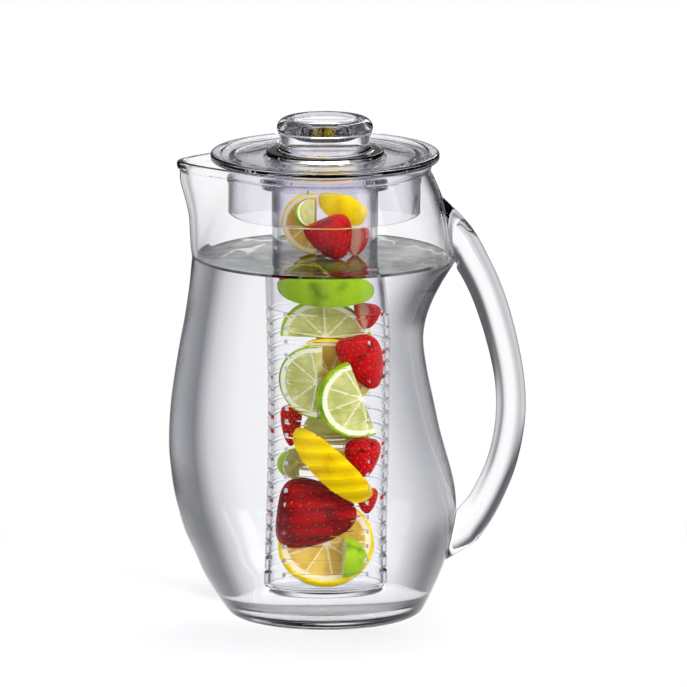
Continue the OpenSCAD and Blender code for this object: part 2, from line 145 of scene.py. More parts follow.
@dataclass(frozen=True)
class TubeSize:
    """Sizes of the infuser tube, in millimetres and degrees."""

    r: float = 28.25
    t: float = 2.5
    floor_t: float = 3.0
    round: float = 5.0
    z: float = 16.5
    top_z: float = 247.4
    rows: int = 20
    columns: int = 3
    slot_h: float = 2.2
    slot_pitch: float = 7.35
    slot_span: float = 94.0
    lug_z: float = 241.7
    lug_h: float = 2.8
    lug_out: float = 1.7
    lug_span: float = 12.0

    @property
    def bore_r(self) -> float:
        """Inner radius."""
        return self.r - self.t

    @property
    def bore_z(self) -> float:
        """Height of the inside of the closed end."""
        return self.z + self.floor_t


# Places of the lugs and the turn that frees them, in degrees
LUG_ANGLES = (-40.0, 80.0, 200.0)
TWIST = 60.0
PITCHER = PitcherSize()
HANDLE = HandleSize()
LID = LidSize()
KNOB = KnobSize()
TUBE = TubeSize()
ACRYLIC_IOR = 1.49
FRUIT_IOR = 1.4
CITRUS_PARTS = ("Flesh", "Deep", "Pith", "Rind", "Deep Rind")
# Shares of the way in at which the rings of a level bottom lie
DISC_STEPS = (0.05, 0.2, 0.4, 0.7, 0.97, 1)

# Outline of the pitcher as shares: height, handle side, beak side, half depth
BELLY = np.array(
    [
        [0.048, 0.757, 0.778, 0.763],
        [0.092, 0.821, 0.863, 0.836],
        [0.137, 0.872, 0.926, 0.888],
        [0.181, 0.908, 0.991, 0.921],
        [0.225, 0.928, 1.033, 0.945],
        [0.270, 0.921, 1.068, 0.958],
        [0.314, 0.892, 1.089, 0.961],
        [0.358, 0.852, 1.103, 0.958],
        [0.403, 0.813, 1.104, 0.950],
        [0.465, 0.770, 1.091, 0.933],
        [0.536, 0.722, 1.060, 0.905],
        [0.602, 0.695, 1.024, 0.884],
        [0.647, 0.711, 0.996, 0.876],
        [0.691, 0.758, 0.974, 0.871],
        [0.735, 0.830, 0.954, 0.868],
        [0.764, 0.888, 0.943, 0.868],
        [0.784, 0.925, 0.933, 0.867],
    ]
)
# Neck as shares: height, and how much of the shoulder is left
NECK = ((0.808, 0.95), (0.845, 0.82), (0.881, 0.66), (0.920, 0.46), (0.959, 0.17))
# Beak as shares: height, and how much of its reach is there
BEAK_LOW = ((0, 0), (0.70, 0), (0.784, 0.02), (0.808, 0.07), (0.845, 0.16))
BEAK = (*BEAK_LOW, (0.881, 0.28), (0.920, 0.50), (0.959, 0.82), (0.985, 1), (1, 1))
# Bead as shares: height, and how far it stands out; the lip takes over at its end
BEAD_END = 0.93
BEAD = ((0, 0), (0.14, 0.8), (0.25, 1), (0.75, 1), (BEAD_END, 0.6), (1, -0.4))
# Handle as shares: out past the shoulder, height, tilt in degrees, thickness
HANDLE_ROWS = np.array(
    [
        [0.085, 0.817, 77, 1.52],
        [0.235, 0.776, 44, 1.17],
        [0.378, 0.732, 27, 1.09],
        [0.513, 0.679, 19, 1.07],
        [0.651, 0.606, 13, 1.03],
        [0.757, 0.526, 6, 1.00],
        [0.786, 0.453, -2, 1.00],
        [0.743, 0.389, -9, 0.99],
        [0.643, 0.327, -17, 1.00],
        [0.492, 0.271, -27, 1.03],
        [0.341, 0.228, -42, 1.10],
        [0.185, 0.196, -62, 1.28],
    ]
)
# Ends of the weld pads as shares of the height, the end nearer the other pad first
PAD_TOP = (0.776, 0.918)
PAD_LOW = (0.225, 0.114)
# Half outline of a berry as shares of its radius and length, from tip to top
BERRY_SHARES = np.array(
    [
        [0.0, 0.0],
        [0.24, 0.03],
        [0.48, 0.13],
        [0.72, 0.30],
        [0.91, 0.52],
        [1.0, 0.72],
        [0.96, 0.86],
        [0.76, 0.96],
        [0.4, 1.0],
        [0.0, 0.98],
    ]
)


# --- Meshes -----------------------------------------------------------------


def circle(count: int) -> np.ndarray:
    """Even angles of a closed ring, in degrees, with the first once more at the end."""
    turn = np.linspace(0, 360, count + 1)
    turn[-1] = 0
    return turn


def grid_quads(grid: np.ndarray) -> np.ndarray:
    """The four corners of each cell of one or more grids, in their order round the cell."""
    four = (grid[..., :-1, :-1, :], grid[..., :-1, 1:, :], grid[..., 1:, 1:, :], grid[..., 1:, :-1, :])
    return np.stack(four, axis=-2).reshape(-1, 4, grid.shape[-1])


class Soup:
    """Collects loose quads and welds them into one closed mesh."""

    def __init__(self, *grids: np.ndarray) -> None:
        """Starts with the quads of some grids.

        Args:
            *grids: Grids of points, shaped (rows, columns, 3).
        """
        self.quads: list[np.ndarray] = []
        self.values: list[np.ndarray] = []
        for points in grids:
            self.grid(points)

    def add(self, corners: np.ndarray, values: np.ndarray | None = None, flip: bool = False) -> None:
        """Adds quads.

        Args:
            corners: Corner points of the quads, shaped (count, 4, 3).
            values: Numbers carried by the corners, shaped (count, 4, width).
            flip: Whether the quads face the other way.
        """
        if flip:
            corners = corners[:, ::-1]
            values = None if values is None else values[:, ::-1]
        self.quads.append(corners)
        if values is not None:
            self.values.append(values)

    def grid(self, points: np.ndarray, values: np.ndarray | None = None, flip: bool = False) -> None:
        """Adds the quads of a grid of points, shaped (rows, columns, 3), with its points' values."""
        self.add(grid_quads(points), None if values is None else grid_quads(values), flip)

    def weld(self, digits: int = 4) -> tuple[np.ndarray, list[np.ndarray], np.ndarray | None]:
        """Merges equal corners and turns quads that lost a side into triangles.

        Args:
            digits: Decimals, in millimetres, to which points are compared.

        Returns:
            The points, the polygons as arrays of indices, and the points' values.
        """
        loose = np.concatenate(self.quads).reshape(-1, 3)
        keys = np.round(loose, digits) + 0.0
        _, first, back = np.unique(keys, axis=0, return_index=True, return_inverse=True)
        quads = back.reshape(-1, 4)
        same = quads == np.roll(quads, -1, axis=1)
        lost = same.sum(axis=1)
        polygons = [quads[lost == 0]]
        part = lost == 1
        if part.any():
            polygons.append(quads[part][~same[part]].reshape(-1, 3))
        values = None
        if self.values:
            values = np.concatenate(self.values)
            values = values.reshape(-1, values.shape[-1])[first]
        return loose[first], polygons, values

    def make(self, name: str, material: bpy.types.Material, smooth: float = 35.0) -> bpy.types.Object:
        """Welds the quads into an object, whose edges stay sharp over an angle in degrees."""
        points, polygons, _ = self.weld()
        return make_object(name, points, polygons, material, smooth)


def make_object(
    name: str,
    points: np.ndarray,
    polygons: Sequence[np.ndarray],
    material: bpy.types.Material,
    smooth: float = 35.0,
) -> bpy.types.Object:
    """Makes a smooth-shaded mesh object.

    Args:
        name: Name of the object and mesh.
        points: Points in millimetres.
        polygons: Arrays of point indices, one row per face.
        material: The mesh's first material.
        smooth: Angle, in degrees, over which an edge stays sharp.

    Returns:
        The object, linked to the scene.
    """
    mesh = bpy.data.meshes.new(name)
    polygons = [p for p in polygons if len(p)]
    loops = np.concatenate([p.ravel() for p in polygons]).astype(np.int32)
    totals = np.concatenate([np.full(len(p), p.shape[1]) for p in polygons])
    starts = np.concatenate([[0], np.cumsum(totals)[:-1]]).astype(np.int32)
    mesh.vertices.add(len(points))
    mesh.vertices.foreach_set("co", (points * MM).astype(np.float32).ravel())
    mesh.loops.add(len(loops))
    mesh.loops.foreach_set("vertex_index", loops)
    mesh.polygons.add(len(totals))
    mesh.polygons.foreach_set("loop_start", starts)
    mesh.update(calc_edges=True)
    mesh.validate()
    mesh.shade_smooth()
    mesh.set_sharp_from_angle(angle=math.radians(smooth))
    mesh.materials.append(material)
    made = bpy.data.objects.new(name, mesh)
    bpy.context.scene.collection.objects.link(made)
    return made


def set_values(made: bpy.types.Object, name: str, kind: str, values: np.ndarray) -> None:
    """Stores one value per point as a named attribute.

    Args:
        made: The object.
        name: Name of the attribute.
        kind: FLOAT or FLOAT_VECTOR.
        values: The values, one row per point.
    """
    layer = made.data.attributes.new(name, kind, "POINT")
    key = "vector" if kind == "FLOAT_VECTOR" else "value"
    layer.data.foreach_set(key, values.astype(np.float32).ravel())


def add_finish(made: bpy.types.Object, material: bpy.types.Material, where: Callable) -> None:
    """Gives some faces of an object one more material.

    Args:
        made: The object.
        material: The material.
        where: Says, from the faces' middles in millimetres and their normals, which faces take it.
    """
    mesh = made.data
    mesh.materials.append(material)
    count = len(mesh.polygons)
    middles, normals = np.empty(count * 3, np.float32), np.empty(count * 3, np.float32)
    mesh.polygons.foreach_get("center", middles)
    mesh.polygons.foreach_get("normal", normals)
    used = np.empty(count, np.int32)
    mesh.polygons.foreach_get("material_index", used)
    used[where(middles.reshape(-1, 3) / MM, normals.reshape(-1, 3))] = len(mesh.materials) - 1
    mesh.polygons.foreach_set("material_index", used)


def hermite(rows: np.ndarray, t: np.ndarray) -> np.ndarray:
    """Smooth curve through rows whose first column is the parameter.

    Between two rows it is the cubic that has, at each row, the slope of the line through the
    rows on both sides of it.

    Args:
        rows: Rows of parameter, then values.
        t: Parameters to read at.

    Returns:
        Values at t, one row per parameter.
    """
    x, y = rows[:, 0], rows[:, 1:]
    low = np.maximum(np.arange(len(rows)) - 1, 0)
    high = np.minimum(np.arange(len(rows)) + 1, len(rows) - 1)
    slopes = (y[high] - y[low]) / (x[high] - x[low])[:, None]
    i = np.clip(np.searchsorted(x, t, side="right") - 1, 0, len(rows) - 2)
    h = (x[i + 1] - x[i])[:, None]
    u = ((t - x[i]) / h[:, 0])[:, None]
    return (
        y[i] * (2 * u**3 - 3 * u**2 + 1)
        + y[i + 1] * (3 * u**2 - 2 * u**3)
        + slopes[i] * h * (u**3 - 2 * u**2 + u)
        + slopes[i + 1] * h * (u**3 - u**2)
    )


def arc(
    x: float, y: float, r: float, start: float, end: float, steps: int = 10
) -> list[tuple[float, float]]:
    """Even points along an arc round the centre (x, y), between two angles in degrees."""
    angles = np.radians(np.linspace(start, end, steps + 1))
    return [(x + r * math.cos(a), y + r * math.sin(a)) for a in angles]


# Cosine, over a bend, under which it counts as gentle, and how much of a side a rounding may take
GENTLE = -0.85
CORNER_SHARE = 0.45


def soften(path: Sequence[tuple[float, float]], radius: float, steps: int = 4) -> np.ndarray:
    """Rounds the corners of an open path by quadratic curves, and leaves its gentle bends.

    Args:
        path: Points of the path.
        radius: Greatest distance from a corner at which its rounding starts.
        steps: Number of steps in a rounding.

    Returns:
        Points of the rounded path.
    """
    points = [np.array(p, float) for p in path]
    out = [points[0]]
    for before, here, after in zip(points, points[1:], points[2:]):
        a, b = before - here, after - here
        la, lb = np.linalg.norm(a), np.linalg.norm(b)
        if la < TINY or lb < TINY:
            continue
        if np.dot(a, b) / (la * lb) < GENTLE:
            out.append(here)
            continue
        start = here + a / la * min(radius, la * CORNER_SHARE)
        end = here + b / lb * min(radius, lb * CORNER_SHARE)
        for u in np.linspace(0, 1, steps + 1):
            out.append(start * (1 - u) ** 2 + here * 2 * u * (1 - u) + end * u**2)
    out.append(points[-1])
    return np.array(out)


def turn_points(path: np.ndarray, angles: np.ndarray) -> np.ndarray:
    """Sweeps a path round the Z axis: x and y are the radius times cosine and sine of the angle.

    Args:
        path: Rows of radius and height.
        angles: Angles in degrees.

    Returns:
        Points, shaped (path, angles, 3).
    """
    a = np.radians(angles)
    r, z = path[:, :1], path[:, 1:2]
    return np.stack([r * np.cos(a), r * np.sin(a), z * np.ones_like(a)], axis=-1)


@dataclass
class Wall:
    """The pitcher's wall as a surface of height and angle."""

    size: PitcherSize = PITCHER
    rows: np.ndarray = field(init=False)
    beak: np.ndarray = field(init=False)
    neck_r: float = field(init=False)

    def __post_init__(self) -> None:
        """Works out the rows of height, handle side, beak side and half depth, and the beak's reach."""
        s = self.size
        self.neck_r = LID.skirt_r + LID.skirt_play + s.wall_t
        foot_z = s.foot_round * (1 - math.cos(math.radians(s.foot_end)))
        foot_r = s.foot_flat_r + s.foot_round * math.sin(math.radians(s.foot_end))
        belly = BELLY * [s.body_h, s.belly_r, s.belly_r, s.belly_r]
        shoulder = belly[-1, 1:]
        neck = [[h * s.body_h, *(self.neck_r + k * (shoulder - self.neck_r))] for h, k in NECK]
        flat = [[z] + [self.neck_r] * 3 for z in (s.rim_z, s.body_h)]
        self.rows = np.array([[foot_z] + [foot_r] * 3, *belly.tolist(), *neck, *flat])
        self.beak = np.array([[h * s.body_h, k] for h, k in BEAK])

    def section(self, z: np.ndarray, extra: np.ndarray) -> tuple[np.ndarray, ...]:
        """Sizes of level sections, each an ellipse that a beak may draw out.

        Args:
            z: Heights of the sections.
            extra: How far each stands out from the wall's outside.

        Returns:
            Half widths, centres, half depths, and the beak's reach over the half width.
        """
        sides = hermite(self.rows, z) + extra[:, None]
        half = (sides[:, 0] + sides[:, 1]) / 2
        centre = (sides[:, 0] - sides[:, 1]) / 2
        reach = 1 + (self.size.spout_reach / self.neck_r - 1) * hermite(self.beak, z)[:, 0]
        return half, centre, sides[:, 2], ((half - extra) * reach + extra) / half

    def rings(self, z: Any, extra: Any, around: int, inset: Any = 0.0) -> np.ndarray:
        """Rings of points of the wall.

        A ring is an ellipse. Near the beak it is drawn out along its two tangents to the tip: its
        radius is divided by the cosine of the angle past the point where a tangent starts, and a
        small hyperbola in place of the angle keeps the tip soft.

        Args:
            z: Heights, one per ring.
            extra: How far each ring stands out from the wall's outside.
            around: Number of points in a ring.
            inset: How far each ring is drawn in after that.

        Returns:
            Points, shaped (rings, around + 1, 3), the last equal to the first.
        """
        z = np.atleast_1d(np.asarray(z, float))
        extra = np.zeros_like(z) + extra
        inset = (np.zeros_like(z) + inset)[:, None]
        half, centre, depth, ratio = (v[:, None] for v in self.section(z, extra))
        turn = circle(around)[None, :]
        from_tip, soft = np.abs(turn - 180), self.size.tip_soft
        tangent = np.degrees(np.arccos(np.minimum(1, 1 / np.maximum(ratio, 1))))
        past = np.maximum(0, tangent - np.sqrt(from_tip**2 + soft**2) + soft)
        swell = np.where(ratio <= 1, 1, 1 / np.cos(np.radians(past)))
        a = np.radians(turn)
        x = centre + (half * swell - inset) * np.cos(a)
        y = (depth * swell - inset) * np.sin(a)
        return np.stack([x, y, np.broadcast_to(z[:, None], x.shape)], axis=-1)

    def front_x(self, y: np.ndarray, z: np.ndarray) -> np.ndarray:
        """The wall's outside on the handle's side, at y and z: the ellipse solved for x."""
        half, centre, depth, _ = self.section(z, np.zeros_like(z))
        return centre + half * np.sqrt(1 - y**2 / depth**2)


def disc(ring: np.ndarray, centre: Sequence[float], steps: Sequence[float]) -> np.ndarray:
    """Rings that shrink from a ring to a centre, at the given shares of the straight way in."""
    middle = np.array(centre, float)
    return np.stack([ring * (1 - s) + middle * s for s in steps])


# --- Finishes ---------------------------------------------------------------


def linear(code: str) -> tuple[float, float, float, float]:
    """Turns a display colour into a linear one by the sRGB curve.

    Args:
        code: Six hexadecimal digits, such as "F2C90A".

    Returns:
        Red, green, blue and a full alpha.
    """
    parts = [int(code[i : i + 2], 16) / 255 for i in (0, 2, 4)]
    r, g, b = (p / 12.92 if p <= 0.04045 else ((p + 0.055) / 1.055) ** 2.4 for p in parts)
    return r, g, b, 1.0


def grey(level: float) -> tuple[float, float, float, float]:
    """A linear grey with full alpha."""
    return level, level, level, 1.0


class Graph:
    """Adds nodes to a tree and links them."""

    def __init__(self, tree: bpy.types.NodeTree) -> None:
        """Takes the tree."""
        self.tree = tree

    def add(self, kind: str, inputs: dict[Any, Any] | None = None, **settings: Any) -> bpy.types.Node:
        """Adds a node.

        Args:
            kind: Node type.
            inputs: Values or sockets by input name or index.
            **settings: Properties to set on the node first.

        Returns:
            The node.
        """
        node = self.tree.nodes.new(kind)
        for key, value in settings.items():
            setattr(node, key, value)
        for key, value in (inputs or {}).items():
            if isinstance(value, bpy.types.NodeSocket):
                self.tree.links.new(value, node.inputs[key])
            else:
                node.inputs[key].default_value = value
        return node

    def math(self, operation: str, a: Any, b: Any = 0.0, clamp: bool = False) -> Socket:
        """Adds a math node and gives its result."""
        settings = {"operation": operation, "use_clamp": clamp}
        return self.add("ShaderNodeMath", {0: a, 1: b}, **settings).outputs[0]

    def plus(self, a: Any, b: Any) -> Socket:
        """The sum of two numbers."""
        return self.math("ADD", a, b)

    def minus(self, a: Any, b: Any) -> Socket:
        """The first number less the second."""
        return self.math("SUBTRACT", a, b)

    def times(self, a: Any, b: Any) -> Socket:
        """The product of two numbers."""
        return self.math("MULTIPLY", a, b)

    def step(self, value: Any, low: float, high: float) -> Socket:
        """Smooth rise from 0 at low to 1 at high, or a fall if low is above high.

        Args:
            value: The number that rises.
            low: Where the result is 0.
            high: Where the result is 1.

        Returns:
            The result.
        """
        start, end = (1.0, 0.0) if low > high else (0.0, 1.0)
        sides = {0: value, 1: min(low, high), 2: max(low, high), 3: start, 4: end}
        return self.add("ShaderNodeMapRange", sides, interpolation_type="SMOOTHSTEP").outputs[0]

    def ramp(self, value: Any, stops: Sequence[tuple[float, str]]) -> Socket:
        """Colour ramp.

        Args:
            value: The place on the ramp, from 0 to 1.
            stops: Places and display colours.

        Returns:
            The colour.
        """
        node = self.add("ShaderNodeValToRGB", {0: value})
        points = node.color_ramp.elements
        while len(points) < len(stops):
            points.new(0.5)
        for point, (place, code) in zip(points, stops):
            point.position = place
            point.color = linear(code)
        return node.outputs[0]

    def mix(self, factor: Any, a: Any, b: Any, blend: str = "MIX") -> Socket:
        """Mixes two colours."""
        settings = {"data_type": "RGBA", "blend_type": blend}
        return self.add("ShaderNodeMix", {0: factor, 6: a, 7: b}, **settings).outputs[2]

    def noise(self, place: Any, pace: float, detail: float) -> Socket:
        """Soft noise from 0 to 1, by its waves to a unit and its number of finer layers."""
        inputs = {"Vector": place, "Scale": pace, "Detail": detail}
        return self.add("ShaderNodeTexNoise", inputs).outputs[0]

    def attribute(self, name: str, output: str = "Fac") -> Socket:
        """A named value of the mesh."""
        return self.add("ShaderNodeAttribute", attribute_name=name).outputs[output]

    def bump(self, height: Any, strength: float, distance: float) -> Socket:
        """The normal of a relief, by its strength and its full height in metres."""
        inputs = {"Height": height, "Strength": strength, "Distance": distance}
        return self.add("ShaderNodeBump", inputs).outputs[0]

    def choose(self, factor: Any, a: Any, b: Any) -> Socket:
        """Mixes two shaders."""
        return self.add("ShaderNodeMixShader", {0: factor, 1: a, 2: b}).outputs[0]

    def surface(self, shader: Any, kind: str = "ShaderNodeOutputMaterial") -> None:
        """Puts a shader out as the surface of a material or a world."""
        self.add(kind, {"Surface": shader})


def new_group(
    name: str, inputs: dict[str, tuple[str, Any]], outputs: dict[str, str]
) -> tuple[Graph, bpy.types.Node, bpy.types.Node]:
    """Makes an empty shader node group.

    Args:
        name: Name of the group.
        inputs: Socket kind and default by name.
        outputs: Socket kind by name.

    Returns:
        The graph, the group's input node and its output node.
    """
    tree = bpy.data.node_groups.new(name, "ShaderNodeTree")
    for key, (kind, default) in inputs.items():
        tree.interface.new_socket(key, in_out="INPUT", socket_type=kind).default_value = default
    for key, kind in outputs.items():
        tree.interface.new_socket(key, in_out="OUTPUT", socket_type=kind)
    graph = Graph(tree)
    return graph, graph.add("NodeGroupInput"), graph.add("NodeGroupOutput")


def new_material(name: str) -> tuple[bpy.types.Material, Graph]:
    """Makes a material without nodes.

    Args:
        name: Name of the material.

    Returns:
        The material and its graph.
    """
    material = bpy.data.materials.new(name)
    material.use_nodes = True
    material.node_tree.nodes.clear()
    return material, Graph(material.node_tree)


@dataclass(frozen=True)
class RipplesAndHighlights:
    """Low waves on water, with painted highlights: bright lines along some crests and faint bright
    patches.

    Attributes:
        colour: Display colour of the painted highlights, in lines and patches.
        height: Height of the waves in metres.
        pace: Waves to a metre along X, Y and Z.
        crest: Value of the waves along which the lines lie.
        line_w: How far from that value a line ends.
        line_share: How much of the colour a line takes.
        calm_pace: Calm parts to a wave.
        calm: Values between which a calm part, without lines, ends.
        patch: Values of the waves between which a patch starts.
        patch_share: How much of the colour a patch takes.
    """

    colour: str = "D4D4C2"
    height: float = 0.0025
    pace: tuple[float, float, float] = (34.0, 24.0, 1.0)
    crest: float = 0.5
    line_w: float = 0.034
    line_share: float = 0.8
    calm_pace: float = 0.7
    calm: tuple[float, float] = (0.44, 0.60)
    patch: tuple[float, float] = (0.52, 0.70)
    patch_share: float = 0.12

    def lay(self, graph: Graph, colour: Any) -> tuple[Socket, Socket]:
        """Lays the waves over a colour, with painted highlights mixed into it.

        Args:
            graph: The material's graph.
            colour: The colour below.

        Returns:
            The new colour and the normal.
        """
        place = graph.add("ShaderNodeTexCoord").outputs["Object"]
        paced = graph.add("ShaderNodeVectorMath", {0: place, 1: self.pace}, operation="MULTIPLY")
        along = paced.outputs[0]
        waves = graph.noise(along, 1.0, 2.0)
        patch = graph.times(graph.step(waves, *self.patch), self.patch_share)
        off_crest = graph.math("ABSOLUTE", graph.minus(waves, self.crest))
        moved = graph.step(graph.noise(along, self.calm_pace, 1.0), *self.calm)
        line = graph.times(graph.step(off_crest, self.line_w, 0.0), moved)
        # Painted highlights: bright lines along crests and faint bright patches, mixed into the colour
        bright = graph.math("MAXIMUM", graph.times(line, self.line_share), patch)
        return graph.mix(bright, colour, linear(self.colour)), graph.bump(waves, 1.0, self.height)


@dataclass(frozen=True)
class ClearFinish:
    """A clear solid or liquid, with painted shade towards its edges.

    Attributes:
        name: Name of the material.
        ior: Index of refraction.
        clear: Display colour where it is seen straight on.
        edge: Display colour of its painted shade, where it is seen at a slant.
        shade_from: Slant, from 0 to 1, at which the painted shade starts.
        shade_to: Slant at which the painted shade is darkest.
        shine: Brightness of its reflections seen straight on.
        ripples_and_highlights: Waves on it with their painted highlights, or nothing.
        shadow: Share of light that its shadow lets through.
    """

    name: str
    ior: float
    clear: str = "FDFDFE"
    edge: str = "77797F"
    shade_from: float = 0.45
    shade_to: float = 1.0
    shine: float = 0.18
    ripples_and_highlights: RipplesAndHighlights | None = None
    shadow: float = 0.98

    def make(self) -> bpy.types.Material:
        """Makes the material: clear where seen straight on, with painted shade at a slant.

        Returns:
            The material.
        """
        material, graph = new_material(self.name)
        facing = graph.add("ShaderNodeLayerWeight", {"Blend": 0.5}).outputs["Facing"]
        # Painted shade: the colour darkens towards the edge colour at a slant, in place of the darker
        # look of clear edges
        slant = graph.step(facing, self.shade_from, self.shade_to)
        colour = graph.mix(slant, linear(self.clear), linear(self.edge))
        inputs = {
            "Metallic": 0.0,
            "Roughness": 0.0,
            "IOR": self.ior,
            "Transmission Weight": 1.0,
            "Specular Tint": grey(self.shine),
        }
        if self.ripples_and_highlights:
            colour, inputs["Normal"] = self.ripples_and_highlights.lay(graph, colour)
        shader = graph.add("ShaderNodeBsdfPrincipled", {"Base Color": colour, **inputs})
        shadow_ray = graph.add("ShaderNodeLightPath").outputs["Is Shadow Ray"]
        open_shader = graph.add("ShaderNodeBsdfTransparent", {"Color": grey(self.shadow)})
        graph.surface(graph.choose(shadow_ray, shader.outputs[0], open_shader.outputs[0]))
        return material


class Citrus(Enum):
    """Kinds of citrus fruit, with colours of flesh, deep flesh, pith, rind and deep rind."""

    LEMON = ("E4C55C", "BC8C2C", "EFE3C2", "FADC00", "E0B400")
    LIME = ("E2DF98", "93A03A", "F0F1D2", "A0C81A", "587C06")


@dataclass(frozen=True)
class CitrusPattern:
    """Where the parts of cut citrus fruit lie, in shares of the way from the middle to the rind.

    Attributes:
        segments: Number of segments.
        core: Shares between which the white core ends.
        pith: Shares between which the flesh turns to pith.
        rind: Shares between which the pith turns to rind.
        skin: Distances from a segment's side, in radii, between which its skin starts.
        skin_white: How white that skin is.
        sacs: Juice sacs across a segment and from the middle to the rind.
        sac_edge: Distances from a sac's middle between which it darkens.
        sac_dark: How much the sacs darken the flesh.
        cloud_pace: Clouds in the flesh to a radius.
        cloud: Noise values between which a cloud darkens.
        own_dark: How much darker one segment can be than another.
        pore_pace: Pores of the rind to a radius.
        patch_pace: Dark patches of the rind to a radius.
        patch: Noise values between which a patch darkens.
        skin_rise: Height of skin and pith in the relief, where a sac's edge is 1.
    """

    segments: float = 9.0
    core: tuple[float, float] = (0.12, 0.07)
    pith: tuple[float, float] = (0.80, 0.84)
    rind: tuple[float, float] = (0.925, 0.95)
    skin: tuple[float, float] = (0.030, 0.008)
    skin_white: float = 0.75
    sacs: tuple[float, float] = (3.2, 4.5)
    sac_edge: tuple[float, float] = (0.25, 0.75)
    sac_dark: float = 0.3
    cloud_pace: float = 2.6
    cloud: tuple[float, float] = (0.35, 0.7)
    own_dark: float = 0.9
    pore_pace: float = 17.0
    patch_pace: float = 1.7
    patch: tuple[float, float] = (0.5, 0.85)
    skin_rise: float = 0.4

    def white(self, graph: Graph, turn: Any, share: Any, segments: Any) -> Socket:
        """Mask of the white parts: core, pith and, in a slice, the skins between the segments.

        Args:
            graph: The group's graph.
            turn: Angle round the middle, in segments.
            share: Share of the way to the rind.
            segments: 1 in a slice and 0 elsewhere.

        Returns:
            The mask.
        """
        across = graph.math("ABSOLUTE", graph.minus(graph.math("FRACT", turn), 0.5))
        gap = graph.times(graph.minus(0.5, across), 2 * math.pi / self.segments)
        skin = graph.times(graph.step(graph.times(gap, share), *self.skin), self.skin_white)
        skin = graph.math("MAXIMUM", skin, graph.step(share, *self.core))
        return graph.math("MAXIMUM", graph.times(skin, segments), graph.step(share, *self.pith))

    def group(self) -> bpy.types.NodeTree:
        """Makes the group that colours cut citrus fruit.

        Returns:
            The group: it reads the fruit's own place and its share of the way to the rind.
        """
        colour, number = "NodeSocketColor", "NodeSocketFloat"
        graph, into, out = new_group(
            "citrus",
            {
                "Place": ("NodeSocketVector", (0, 0, 0)),
                "Share": (number, 0.5),
                "Segments": (number, 1.0),
                **{part: (colour, grey(1.0)) for part in CITRUS_PARTS},
            },
            {"Color": colour, "Height": number, "Rind": number},
        )
        place, share = into.outputs["Place"], into.outputs["Share"]
        split = graph.add("ShaderNodeSeparateXYZ", {0: place})
        angle = graph.math("ARCTAN2", split.outputs[1], split.outputs[0])
        turn = graph.times(angle, self.segments / (2 * math.pi))
        white = self.white(graph, turn, share, into.outputs["Segments"])
        # Juice sacs: long cells that point away from the middle
        paced = {0: graph.times(turn, self.sacs[0]), 1: graph.times(share, self.sacs[1])}
        far = self.cells(graph, graph.add("ShaderNodeCombineXYZ", paced).outputs[0], 1.0)
        segment = {"W": graph.math("FLOOR", turn)}
        own = graph.add("ShaderNodeTexWhiteNoise", segment, noise_dimensions="1D")
        sac = graph.times(graph.step(far, *self.sac_edge), self.sac_dark)
        cloud = graph.step(graph.noise(place, self.cloud_pace, 3.0), *self.cloud)
        tone = graph.plus(graph.plus(sac, cloud), graph.times(own.outputs[0], self.own_dark))
        flesh = graph.mix(graph.times(tone, 0.5), into.outputs["Flesh"], into.outputs["Deep"])
        patch = graph.step(graph.noise(place, self.patch_pace, 2.0), *self.patch)
        rind = graph.mix(patch, into.outputs["Rind"], into.outputs["Deep Rind"])
        outer = graph.step(share, *self.rind)
        body = graph.mix(white, flesh, into.outputs["Pith"])
        pitted = graph.times(graph.step(self.cells(graph, place, self.pore_pace), 0.0, 0.5), outer)
        relief = graph.times(far, graph.minus(1.0, white))
        relief = graph.plus(relief, graph.times(white, self.skin_rise))
        inner = graph.times(relief, graph.minus(1.0, outer))
        for key, socket in (
            ("Color", graph.mix(outer, body, rind)),
            ("Height", graph.plus(inner, pitted)),
            ("Rind", outer),
        ):
            graph.tree.links.new(socket, out.inputs[key])
        return graph.tree

    def cells(self, graph: Graph, place: Any, pace: float) -> Socket:
        """Distance from the middle of the nearest soft cell."""
        inputs = {"Vector": place, "Scale": pace}
        return graph.add("ShaderNodeTexVoronoi", inputs, feature="SMOOTH_F1").outputs["Distance"]


@dataclass(frozen=True, kw_only=True)
class FruitFinish:
    """Wet fruit, which light enters a little way.

    Attributes:
        name: Name of the material.
        glow: Share of light that enters.
        roughness: Roughness of its wet face.
        gloss: Strength of its reflections.
        spread: How far red, green and blue light spread, in shares of the depth.
        depth: How far light enters, in metres.
        relief: Height of its relief in metres.
        strength: Strength of that relief.
    """

    name: str
    glow: float
    roughness: float
    gloss: float = 0.06
    spread: tuple[float, float, float]
    depth: float
    relief: float
    strength: float

    def add_shader(self, graph: Graph, colour: Any, height: Any, glow: Any) -> None:
        """Adds the shader and puts it out.

        Args:
            graph: The material's graph.
            colour: The colour.
            height: The relief, from 0 to 1.
            glow: Share of light that enters.
        """
        inputs = {
            "Base Color": colour,
            "Roughness": self.roughness,
            "IOR": FRUIT_IOR,
            "Specular IOR Level": self.gloss,
            "Subsurface Weight": glow,
            "Subsurface Radius": self.spread,
            "Subsurface Scale": self.depth,
            "Normal": graph.bump(height, self.strength, self.relief),
        }
        graph.surface(graph.add("ShaderNodeBsdfPrincipled", inputs).outputs[0])


